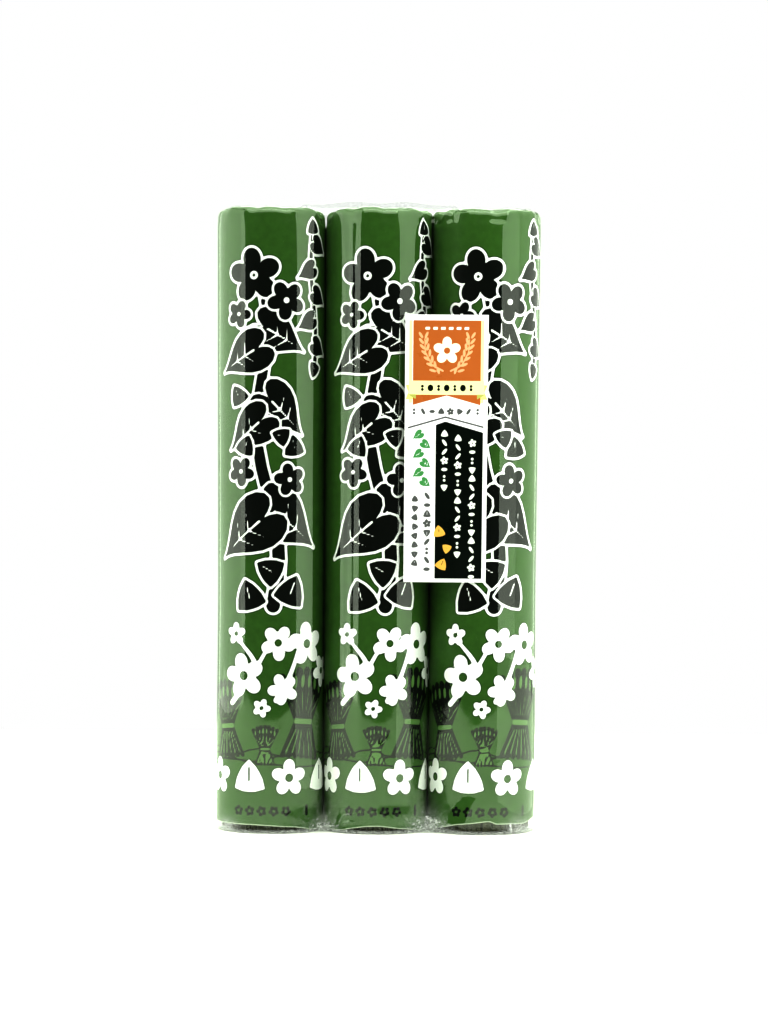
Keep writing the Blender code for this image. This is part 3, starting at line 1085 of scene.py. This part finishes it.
# Columns of corners along each roll's width and round each outer side, and rows up the film's
# stretches: foot, bend, low, middle and high side, top and end seam
SPAN_COLUMNS = 124
CAP_COLUMNS = 92
FOOT_ROWS = 12
BEND_ROWS = 6
LOW_ROWS = 71
MIDDLE_ROWS = 43
HIGH_ROWS = 35
TOP_ROWS = 17
SEAM_ROWS = 6

# Where those stretches end, the radius of the bends, and the film's lowest place and seam
LOW_END = 38 * MM
HIGH_START = 172 * MM
FOOT_ARC = 1.3 * MM
TOP_ARC = 2.5 * MM
FILM_FOOT = 0.05 * MM
SEAM_REACH = 0.14 * MM


def film_outline():
    """Even places along an outline round the rolls, from the middle of the back.

    Gives for each column where its roll line lies, and the direction that points out of the pack.
    """
    span = ROLL_PITCH
    half = SPAN_COLUMNS // 2
    along = np.concatenate((
        np.linspace(0, -span, half, endpoint=False),
        np.full(CAP_COLUMNS, -span),
        np.linspace(-span, span, SPAN_COLUMNS, endpoint=False),
        np.full(CAP_COLUMNS, span),
        np.linspace(span, 0, half + 1),
    ))
    cap = np.linspace(0, math.pi, CAP_COLUMNS, endpoint=False)
    turn = np.concatenate((
        np.full(half, math.pi),
        math.pi + cap,
        np.full(SPAN_COLUMNS, 2 * math.pi),
        2 * math.pi + cap,
        np.full(half + 1, 3 * math.pi),
    ))
    return along, np.sin(turn), -np.cos(turn)


def row_steps(start, end, count):
    """Even steps from a start, itself left out, to an end."""
    return np.linspace(start, end, count + 1)[1:]


def film_profile(radius):
    """The film's rows from the middle of its foot to the edge of its end seam.

    Gives for each row its reach from the roll line, its height, and its share of the seam's rise.
    """
    bend = np.linspace(0, math.pi / 2, BEND_ROWS + 1)
    side_top = FILM_TOP - TOP_ARC
    reach = np.concatenate((
        np.linspace(0, radius - FOOT_ARC, FOOT_ROWS, endpoint=False),
        radius - FOOT_ARC + FOOT_ARC * np.sin(bend),
        np.full(LOW_ROWS + MIDDLE_ROWS + HIGH_ROWS, radius),
        radius - TOP_ARC + TOP_ARC * np.cos(bend)[1:],
        row_steps(radius - TOP_ARC, SEAM_REACH, TOP_ROWS),
        np.full(SEAM_ROWS, SEAM_REACH),
        [0.0],
    ))
    height = np.concatenate((
        np.full(FOOT_ROWS, FILM_FOOT),
        FILM_FOOT + FOOT_ARC * (1 - np.cos(bend)),
        row_steps(FILM_FOOT + FOOT_ARC, LOW_END, LOW_ROWS),
        row_steps(LOW_END, HIGH_START, MIDDLE_ROWS),
        row_steps(HIGH_START, side_top, HIGH_ROWS),
        side_top + TOP_ARC * np.sin(bend)[1:],
        np.full(TOP_ROWS + SEAM_ROWS + 1, FILM_TOP),
    ))
    lift = np.zeros(len(reach))
    lift[-SEAM_ROWS - 1:-1] = np.linspace(1 / SEAM_ROWS, 1, SEAM_ROWS)
    lift[-1] = 1.0
    return reach, height, lift


def seam_rise(x):
    """Height of the end seam above the film's top."""
    along = np.clip(2 * x / SEAM_LENGTH, -1, 1)
    wave = 1 - SEAM_WAVE * (1 + np.cos(SEAM_WAVES * along))
    ends = smooth_step((SEAM_LENGTH / 2 - np.abs(x)) / SEAM_ENDS)
    return SEAM_HEIGHT * (SEAM_LEVEL + SEAM_BULGE * (1 - along**2)) * wave * ends


def film_dip(line, radius):
    """How deep the film lies behind its crowns, from the slopes it takes on each roll's flanks."""
    off = np.linspace(0, ROLL_PITCH / 2, FLANK_STEPS)
    round_slope = off / np.sqrt(radius**2 - off**2)
    dip = np.zeros(line.shape)
    for valley, (near, far, depth) in enumerate(VALLEYS):
        crown = (valley - 1) * ROLL_PITCH
        for side, slopes in ((1, near), (-1, far)):
            at, slope = (np.array(column) for column in zip(*slopes))
            steep = np.interp(off, at * MM, slope, left=0)
            steep = np.where(off < at[0] * MM, round_slope, steep)
            below = np.concatenate(([0], np.cumsum((steep[1:] + steep[:-1]) / 2) * (off[1] - off[0])))
            late = smooth_step((off / (ROLL_PITCH / 2) - 0.55) / 0.45)
            below = below + (depth * MM - below[-1]) * late
            away = line - crown if side > 0 else crown + ROLL_PITCH - line
            here = (away >= 0) & (away <= ROLL_PITCH / 2)
            dip = np.where(here, np.interp(away, off, below), dip)
    return dip


def roll_dip(line, radius):
    """How deep a roll's own side lies behind its crown: the film can't dip much deeper than that."""
    off = line - np.clip(np.rint(line / ROLL_PITCH), -1, 1) * ROLL_PITCH
    return radius - np.sqrt(radius**2 - off**2)


def valley_folds(x, z, front, phase):
    """Sharp folds that fan out from the valleys' closed ends: depth in metres, and how much painted
    highlight their sharp ridges get.
    """
    depth = np.zeros(x.shape)
    milky_highlight = np.zeros(x.shape)
    for end, strength in ((0.0, 1.0), (FILM_TOP, TOP_FOLDS)):
        for valley in (-ROLL_PITCH / 2, ROLL_PITCH / 2):
            dx = x - valley
            dz = np.abs(z - end) + FOLD_START
            away = np.hypot(dx, dz)
            fan = np.arctan2(dx, dz) * FANS + phase + FAN_SHIFT * valley
            ridge = np.abs((fan + FAN_SWAY * np.sin(away / FAN_SWAY_STEP)) % 1.0 - 0.5) * 2
            cross = np.abs((away / CROSS_STEP + CROSS_SWAY * np.sin(3 * fan)) % 1.0 - 0.5) * 2
            fade = np.exp(-((away / FOLD_REACH) ** 2)) * front * strength
            depth = depth + (FAN_DEPTH * ridge + CROSS_DEPTH * cross) * MM * fade
            # Painted highlight: the sharpest ridges are marked to be drawn white
            sharp = smooth_step((ridge - 0.66) / 0.34) + 0.5 * smooth_step((cross - 0.8) / 0.2)
            milky_highlight = milky_highlight + sharp * fade
    return depth, np.clip(milky_highlight, 0, 1)


def low_facets(x, z, rng):
    """Flat-sided dimples with crisp borders, where the film is loose near the foot."""
    places = rng.uniform(-FACET_REACH, FACET_REACH, FACETS)
    seeds = np.column_stack((places, rng.uniform(0, FACET_TOP, FACETS)))
    slopes = rng.uniform(*FACET_SLOPES, FACETS)
    lean = rng.uniform(-FACET_LEAN, FACET_LEAN, (FACETS, 2))
    best = np.full(x.shape, np.inf)
    for (sx, sz), slope, (lx, lz) in zip(seeds, slopes, lean):
        dx = x - sx
        dz = (z - sz) * FACET_STRETCH
        best = np.minimum(best, np.hypot(dx, dz) * slope + lx * dx + lz * dz)
    return best


# Outlines, across and up in millimetres, of the patches of painted shade, where the film's gloss is cut
PAINTED_SHADE_PATCHES = (
    ((-29.0, 6.2), (-24.0, 7.8), (-18.4, 8.0), (-18.8, 2.9), (-24.0, 4.1)),
    ((-0.8, 7.2), (3.0, 8.9), (11.0, 8.6), (11.2, 6.2), (5.0, 5.2)),
    ((14.6, 50.0), (18.0, 46.0), (22.0, 36.0), (18.8, 26.4), (21.0, 17.0), (22.9, 9.6), (26.5, 4.6),
     (19.0, 4.4), (15.0, 5.6)),
    ((-18.5, 50.0), (-14.6, 50.0), (-14.6, 6.4), (-18.3, 5.2)),
    ((-45.0, 2.3), (45.0, 2.3), (45.0, -1.0), (-45.0, -1.0)),
    ((10.5, 40.0), (15.0, 40.0), (15.5, 12.0), (12.5, 14.0), (11.5, 24.0)),
)

# Painted highlights of single creases near the foot: start and end, across and up in millimetres
FOOT_STREAK_HIGHLIGHTS = (((15.9, 4.9), (20.2, 3.4)), ((42.7, 3.2), (43.0, 0.3)), ((-18.4, 2.2), (-13.6, 1.7)))

# Where highlights of the film's crinkles are painted at the foot: across, half width and height in
# millimetres
FOOT_CRINKLE_HIGHLIGHTS = ((-16.6, 4.2, 3.4), (16.6, 5.6, 5.0), (-47.2, 4.2, 3.8), (45.4, 4.4, 4.4))

# How white the film is painted as highlights in its foot's fold, crinkles and streaks, in the painted haze
# of reflection over them, and how milky its seam is
FOLD_HIGHLIGHT = 0.75
CRINKLE_HIGHLIGHT = 0.85
STREAK_HIGHLIGHT = 1.2
STREAK_HALF_WIDTH = 0.3
PAINTED_HAZE = 0.03
PAINTED_HAZE_TOP = 15 * MM
PAINTED_HAZE_FADE = 12 * MM
SEAM_MILK = 0.14


def foot_highlights(x, z, flat):
    """Painted highlights on the film at its foot: its fold, its crinkled corners and single creases, over a
    painted haze of reflection.
    """
    crinkle_highlight = np.zeros(x.shape)
    for across, half_width, high in FOOT_CRINKLE_HIGHLIGHTS:
        crinkle_highlight = np.maximum(crinkle_highlight, bump_at(x, across * MM, half_width * MM) * bump_at(z, 0, high * MM))
    for start, end in FOOT_STREAK_HIGHLIGHTS:
        streak = stroke(x / MM, z / MM, [start, end], STREAK_HALF_WIDTH)
        crinkle_highlight = np.where(streak < 0, STREAK_HIGHLIGHT, crinkle_highlight)
    # Painted highlight along the foot's fold
    fold = smooth_step((FOOT_ARC - z) / (0.5 * MM))
    # Painted haze of reflection low on the film
    painted_haze = PAINTED_HAZE * smooth_step((PAINTED_HAZE_TOP - z) / PAINTED_HAZE_FADE)
    return np.maximum(painted_haze, np.maximum(FOLD_HIGHLIGHT * fold, CRINKLE_HIGHLIGHT * crinkle_highlight)) * flat


class SOBA_OT_film(bpy.types.Operator):
    """Shrink the clear bag round the three rolls, with creases at its ends"""

    bl_idname = "soba.film"
    bl_label = "Film"

    def execute(self, context):
        settings = context.scene.soba_film
        along, out_x, out_y = film_outline()
        reach, height, lift = film_profile(settings.radius)
        film, right, up = add_sheet("clear_bag", len(along) - 1, len(reach) - 1)
        column = np.rint(right * (len(along) - 1)).astype(int)
        row = np.rint(up * (len(reach) - 1)).astype(int)
        line = along[column]
        flat = reach[row] / settings.radius
        z = height[row] + lift[row] * seam_rise(line)

        # The film spans from roll to roll, and dips between them most at its closed ends
        valley = np.sin(math.pi * line / ROLL_PITCH) ** 2
        dip = film_dip(line, settings.radius) + VALLEY_END_DIP * end_pull(z) * valley**2
        dip = np.minimum(dip, roll_dip(line, settings.radius) + FILM_SINK) * flat
        face = smooth_step((np.abs(out_y[column]) - 0.2) / 0.5) * smooth_step((flat - 0.5) / 0.5)
        fold, milky_highlight = valley_folds(line, z, face, np.where(out_y[column] > 0, 0.4, 0.0))
        facets = low_facets(line + out_x[column] * 12 * MM, z, np.random.default_rng(7))
        loose = smooth_step((LOOSE_TOP - z) / LOOSE_FADE) * smooth_step(z / LOOSE_FOOT) * flat
        slack = SLACK_WAVE * np.sin(line * 190 + z * 35) * np.sin(z * 90 + line * 60) * flat
        depth = reach[row] - dip + 0.8 * fold * flat - FACET_DEPTH * facets * loose + slack
        nearest = np.clip(np.rint(line / ROLL_PITCH), -1, 1)
        depth = np.maximum(depth + outer_swell(nearest, out_x[column], z) * flat, 0)

        # Near the top it follows the papers' dented rims
        near_top = smooth_step((z - FILM_TOP + TOP_ARC + RIM_REACH) / RIM_REACH) * (lift[row] == 0)
        off = line - nearest * ROLL_PITCH
        angle = np.arctan2(off + depth * out_x[column], -depth * out_y[column])
        for i, roll in enumerate(ROLLS):
            rim = np.where(nearest == i - 1, rim_dent(roll, angle), 0) * near_top
            z = z - 0.8 * rim * smooth_step((flat - 0.3) / 0.5)
            depth = depth - 0.4 * rim * flat
        across = line + depth * out_x[column]
        write_points(film, across, depth * out_y[column], z)
        # The stored field holds painted highlights on folds, crinkles and the foot, the painted haze, and
        # the seam's milk
        seam = SEAM_MILK * smooth_step(lift[row] * 3)
        foot = foot_highlights(across, z, flat)
        store_field(film, "milky_highlight", np.clip(0.6 * milky_highlight + seam + foot, 0, 1))
        sheet = (across / MM, z / MM)
        # Painted shade: patches on the front where the film's gloss is cut
        shade_patch = blank(sheet)
        for outline in PAINTED_SHADE_PATCHES:
            draw_over(shade_patch, sheet, polygon, outline)
        store_field(film, "shade_patch", np.where(out_y[column] < 0, shade_patch, FAR))

        bpy.ops.object.mode_set(mode="EDIT")
        bpy.ops.mesh.select_all(action="SELECT")
        bpy.ops.mesh.remove_doubles(threshold=WELD)
        bpy.ops.object.mode_set(mode="OBJECT")
        narrow_to_foot(film)
        film.data.materials.append(make_film_material(settings))
        finish_piece(film, "film", "film")
        return {"FINISHED"}


# Sticker

LABEL_LEFT = 8.2 * MM
LABEL_RIGHT = 33.8 * MM
LABEL_FOOT = 77.5 * MM
LABEL_TOP = 159.3 * MM
LABEL_LIFT = 0.10 * MM
LABEL_THICKNESS = 0.13 * MM
LABEL_SAG = 0.25 * MM
LABEL_CURL = 0.04 * MM
LABEL_COLUMNS = 96
LABEL_ROWS = 304


def turned_oval(x, y, half_width, half_height, degrees):
    x, y = turned(x, y, degrees)
    return oval(x, y, half_width, half_height)


def disc_pair(x, y, radius, gap):
    """Two small discs, one above the other."""
    return np.minimum(disc(x, y - gap / 2, radius * 0.5), disc(x, y + gap / 2, radius * 0.5))


# The kinds of small marks that stand in rows on the sticker, with their sizes
SMALL_MARKS = (
    (kernel, (1.25, 0)),
    (disc_pair, (0.9, 1.2)),
    (blossom, (1.3, 10)),
    (turned_oval, (0.5, 1.2, 35)),
    (kernel, (1.2, 180)),
    (oval, (1.0, 0.55)),
    (turned_oval, (0.5, 1.2, -40)),
)


def draw_marks(field, sheet, start, step, count, order, reach=2.4, scale=1.0):
    """A row or column of small marks; the order is the step through their kinds, and the first one."""
    for i in range(count):
        shape, sizes = SMALL_MARKS[(i * order[0] + order[1]) % len(SMALL_MARKS)]
        centre = (start[0] + step[0] * i, start[1] + step[1] * i)
        draw(field, sheet, centre, reach, shape, *(scale * size for size in sizes))


def draw_banner(fields, sheet):
    """The red banner with its side stripes, laurel, ribbon and the row under it."""
    banner = [(2.5, -1.8), (2.5, -27.6), (12.9, -24.7), (23.3, -27.6), (23.3, -1.8)]
    draw_over(fields["red"], sheet, polygon, banner)
    for across in (1.75, 23.75):
        draw(fields["stripe"], sheet, (across, -14.4), 14, bar, 0.5, 12.6)
    ribbon = [(1.2, -20.2), (24.5, -20.2), (24.5, -24.5), (1.2, -24.5)]
    draw_over(fields["gold"], sheet, polygon, ribbon)
    for side in (-1, 1):
        for name, corners in (
            ("tail", ((9.4, 21.5), (12.6, 21.5), (11.7, 23.7), (12.6, 25.9), (9.4, 25.9))),
            ("fold", ((9.4, 24.4), (11.9, 24.4), (9.4, 25.9))),
        ):
            outline = [(12.85 + side * across, -down) for across, down in corners]
            draw_over(fields[name], sheet, polygon, outline)
    for side in (-1, 1):
        route = ((1.2, 17.2), (4.6, 15.4), (6.6, 11.6), (6.9, 7.6))
        branch = [(12.9 + side * reach, -down) for reach, down in route]
        draw_over(fields["laurel"], sheet, stroke, branch, 0.28, 0.15)
        for i in range(7):
            t = i / 6
            across = side * (2.6 + 4.6 * math.sin(0.2 + 1.35 * t))
            down = 17.6 - 10.8 * t
            for outward in (-1, 1):
                centre = (12.9 + across + side * outward * 0.85, -down + 0.5)
                lean = -side * (45 - 40 * t) - side * outward * 28
                draw(fields["laurel"], sheet, centre, 3, turned_oval, 0.42, 1.15, lean)
    draw(fields["flower"], sheet, (12.9, -11.0), 6, blossom, 4.3, 0, eye=0.22)
    for i in range(6):
        draw(fields["cream"], sheet, (6.9 + 2.4 * i, -4.2), 2, bar, 0.75, 0.45)
    for i in range(7):
        shape = oval if i % 2 else disc_pair
        draw(fields["black"], sheet, (5.4 + 2.5 * i, -22.4), 2, shape, 0.85, 1.0)
    draw_marks(fields["grey"], sheet, (2.9, -29.6), (2.8, 0), 8, (2, 1), 2, 0.85)


def draw_panel(fields, sheet):
    """The black panel under a pointed line, with its columns of small cream motifs."""
    chevron = [(1.2, -34.6), (12.6, -31.3), (24.2, -34.3)]
    draw_over(fields["grey"], sheet, stroke, chevron, 0.22)
    panel = [(9.7, -33.7), (12.6, -32.7), (24.2, -36.0), (24.2, -80.6), (9.7, -80.6)]
    draw_over(fields["black"], sheet, polygon, panel)
    for across, down, count in ((21.0, 39.2, 16), (16.6, 37.8, 14), (12.4, 36.4, 7)):
        draw_marks(fields["cream"], sheet, (across, -down), (0, -2.72), count, (3, count))


def draw_margin(fields, sheet):
    """Green leaves and grey marks on the white margin, and gold grains along the panel's edge."""
    for i in range(6):
        side = 1 if i % 2 else -1
        place = (5.4 + side * 0.5, -36.4 - 2.9 * i)
        draw(fields["green"], sheet, place, 4, leaf, 2.9, side * 55, vein=0.10)
    draw_marks(fields["grey"], sheet, (7.2, -55.4), (0, -2.8), 9, (2, 3))
    for i in range(8):
        draw(fields["grey"], sheet, (3.4, -56.4 - 2.8 * i), 2.4, kernel, 1.1, 50 * i)
    for across, down, size, turn in ((11.0, 66.4, 2.0, 10), (13.4, 71.4, 1.6, 50), (11.8, 76.4, 2.0, -25)):
        draw(fields["grain"], sheet, (across, -down), 4, kernel, size, turn)


class SOBA_OT_label(bpy.types.Operator):
    """Lay the sticker on the film's front"""

    bl_idname = "soba.label"
    bl_label = "Sticker"

    def execute(self, context):
        settings = context.scene.soba_label
        label, right, up = add_sheet("sticker", LABEL_COLUMNS, LABEL_ROWS)
        x = LABEL_LEFT + right * (LABEL_RIGHT - LABEL_LEFT)
        z = LABEL_FOOT + up * (LABEL_TOP - LABEL_FOOT)
        sheet = ((x - LABEL_LEFT) / MM, (z - LABEL_TOP) / MM)
        fields = {name: blank(sheet) for name, _ in LABEL_INKS}
        draw_banner(fields, sheet)
        draw_panel(fields, sheet)
        draw_margin(fields, sheet)
        for name, field in fields.items():
            store_field(label, name, field)
        radius = context.scene.soba_film.radius + LABEL_LIFT
        past = np.maximum(np.abs(x) - ROLL_PITCH, 0)
        sag = LABEL_SAG * np.sin(math.pi * x / ROLL_PITCH) ** 2 * (np.abs(x) < ROLL_PITCH)
        curl = LABEL_CURL * np.sin(z * 70)
        write_points(label, x, sag - np.sqrt(radius**2 - past**2) - curl, z)

        thicken = label.modifiers.new("Thickness", "SOLIDIFY")
        thicken.thickness = LABEL_THICKNESS
        thicken.offset = 1.0
        deselect_all()
        label.select_set(True)
        context.view_layer.objects.active = label
        bpy.ops.object.modifier_apply(modifier=thicken.name)
        narrow_to_foot(label)
        label.data.materials.append(make_label_material(settings))
        finish_piece(label, "label", "label")
        return {"FINISHED"}


# Stage

SENSOR = 36.0
CAMERA_ROLL = 0.4
AIM = (2.05 * MM, -16.8 * MM, 98.9 * MM)
ROOM = (0.03, 0.03, 0.03)
WHITE = (1.0, 1.0, 1.0)
CONTRAST = 0.65
FLOOR_WIDTH = 1.6
FLOOR_DEPTH = 0.72
FLOOR_FRONT = -0.38

# Each lamp's name, place, the point it faces, width, height and brightness
LAMPS = (
    ("key", (0, -0.50, 0.62), (0, 0, 0.1), 1.0, 0.5, 2.3),
    ("top", (0, 0.1, 1.3), (0, 0, 0), 1.8, 1.8, 2.8),
    ("upper_front", (0, -0.075, 0.262), (0, 0, 0.19), 0.16, 0.04, 1.5),
    ("left_front", (-0.45, -0.25, 0.25), (0, -0.25, 0.25), 0.10, 0.7, 2.6),
    ("left_wall", (-0.45, -0.075, 0.25), (0, -0.075, 0.25), 0.25, 0.7, 2.15),
    ("left_back", (-0.45, 0.27, 0.25), (0, 0.27, 0.25), 0.44, 0.7, 2.05),
    ("right_front", (0.09, -0.065, 0.19), (0, -0.065, 0.19), 0.07, 0.28, 2.1),
    ("right_card", (0.09, 0.01, 0.19), (0, 0.01, 0.19), 0.08, 0.28, 1.5),
    ("right_low", (0.09, -0.025, 0.02), (0, -0.025, 0.02), 0.15, 0.06, 0.95),
    ("back_wall", (0, 0.75, 0.3), (0, 0, 0.3), 1.6, 0.8, 1.1),
)


def add_soft_box(name, place, aim, width, height, brightness):
    """A hidden rectangular lamp of even brightness, turned to face a point."""
    deselect_all()
    bpy.ops.object.light_add(type="AREA", location=place)
    lamp = bpy.context.active_object
    lamp.name = name
    lamp.data.name = name
    lamp.data.shape = "RECTANGLE"
    lamp.data.size = width
    lamp.data.size_y = height
    lamp.data.energy = brightness * math.pi * width * height
    lamp.visible_camera = False
    toward = Vector(aim) - Vector(place)
    lamp.rotation_euler = toward.to_track_quat("-Z", "Y").to_euler()


def make_floor_material():
    """Plain white card with a faint grain."""
    material, place = new_material("white_card")
    grain = noise(material, place, 60, 3)
    return set_finish(
        material,
        Base_Color=mix_colour(material, grain, (0.90, 0.93, 0.85), (0.87, 0.90, 0.82)),
        Roughness=0.9,
        Specular_IOR_Level=0.1,
        Emission_Color=WHITE,
        Emission_Strength=0.04,
    )


class SOBA_OT_stage(bpy.types.Operator):
    """Set up the floor, the white surroundings, the lamps and the camera"""

    bl_idname = "soba.stage"
    bl_label = "Stage"

    def execute(self, context):
        settings = context.scene.soba_stage
        self.add_floor()
        self.add_world(context)
        self.add_lamps()
        self.add_camera(context, settings)
        context.scene.view_settings.view_transform = "Standard"
        context.scene.view_settings.gamma = CONTRAST
        return {"FINISHED"}

    def add_floor(self):
        """A white card whose front edge lies before the pack, and which runs far behind it."""
        deselect_all()
        bpy.ops.mesh.primitive_plane_add(size=1.0, location=(0, 0, 0))
        floor = bpy.context.active_object
        floor.name = "floor"
        x, y, z = read_points(floor).T
        write_points(floor, x * FLOOR_WIDTH, (y + 0.5) * FLOOR_DEPTH + FLOOR_FRONT, z)
        floor.data.materials.append(make_floor_material())

    def add_world(self, context):
        """White to the camera, and a dim room to everything else."""
        world = start_nodes(bpy.data.worlds.new("studio"))
        context.scene.world = world
        seen = add_node(world, "ShaderNodeLightPath").outputs["Is Camera Ray"]
        shade = mix_colour(world, seen, ROOM, WHITE)
        background = add_node(world, "ShaderNodeBackground", Color=shade)
        add_node(world, "ShaderNodeOutputWorld", Surface=background.outputs["Background"])

    def add_lamps(self):
        """High lamps for even light, and tall side lamps for the film's long reflections."""
        for lamp in LAMPS:
            add_soft_box(*lamp)

    def add_camera(self, context, settings):
        """A long lens a little above the pack's foot, turned by a hair as the photo is."""
        deselect_all()
        bpy.ops.object.camera_add(location=(0, -settings.distance, settings.height))
        camera = context.active_object
        camera.name = "camera"
        toward = Vector(AIM) - camera.location
        turn = toward.to_track_quat("-Z", "Y").to_matrix()
        roll = Matrix.Rotation(math.radians(CAMERA_ROLL), 3, "Z")
        camera.rotation_euler = (turn @ roll).to_euler()
        camera.data.sensor_fit = "AUTO"
        camera.data.sensor_width = SENSOR
        camera.data.lens = SENSOR * toward.length / settings.seen_height
        camera.data.dof.use_dof = False
        context.scene.camera = camera


class SOBA_PT_panel(bpy.types.Panel):
    """Settings and steps of the pack"""

    bl_label = "Soba pack"
    bl_idname = "SOBA_PT_panel"
    bl_space_type = "VIEW_3D"
    bl_region_type = "UI"
    bl_category = "Soba pack"

    def draw(self, context):
        for name, _, steps in GROUPS:
            box = self.layout.box()
            settings = getattr(context.scene, name)
            for field in settings.bl_rna.properties:
                if field.identifier not in ("rna_type", "name"):
                    box.prop(settings, field.identifier)
            for step in steps:
                box.operator(step.bl_idname)


GROUPS = (
    ("soba_noodles", NoodleSettings, (SOBA_OT_noodles,)),
    ("soba_papers", PaperSettings, (SOBA_OT_papers,)),
    ("soba_film", FilmSettings, (SOBA_OT_film,)),
    ("soba_label", LabelSettings, (SOBA_OT_label,)),
    ("soba_stage", StageSettings, (SOBA_OT_stage,)),
)


def register():
    for name, group, steps in GROUPS:
        bpy.utils.register_class(group)
        setattr(bpy.types.Scene, name, PointerProperty(type=group))
        for step in steps:
            bpy.utils.register_class(step)
    bpy.utils.register_class(SOBA_PT_panel)


def unregister():
    bpy.utils.unregister_class(SOBA_PT_panel)
    for name, group, steps in reversed(GROUPS):
        for step in steps:
            bpy.utils.unregister_class(step)
        delattr(bpy.types.Scene, name)
        bpy.utils.unregister_class(group)


def main():
    """Register the steps and run them in order."""
    register()
    bpy.ops.soba.noodles()
    bpy.ops.soba.papers()
    bpy.ops.soba.film()
    bpy.ops.soba.label()
    bpy.ops.soba.stage()


if __name__ == "__main__":
    main()
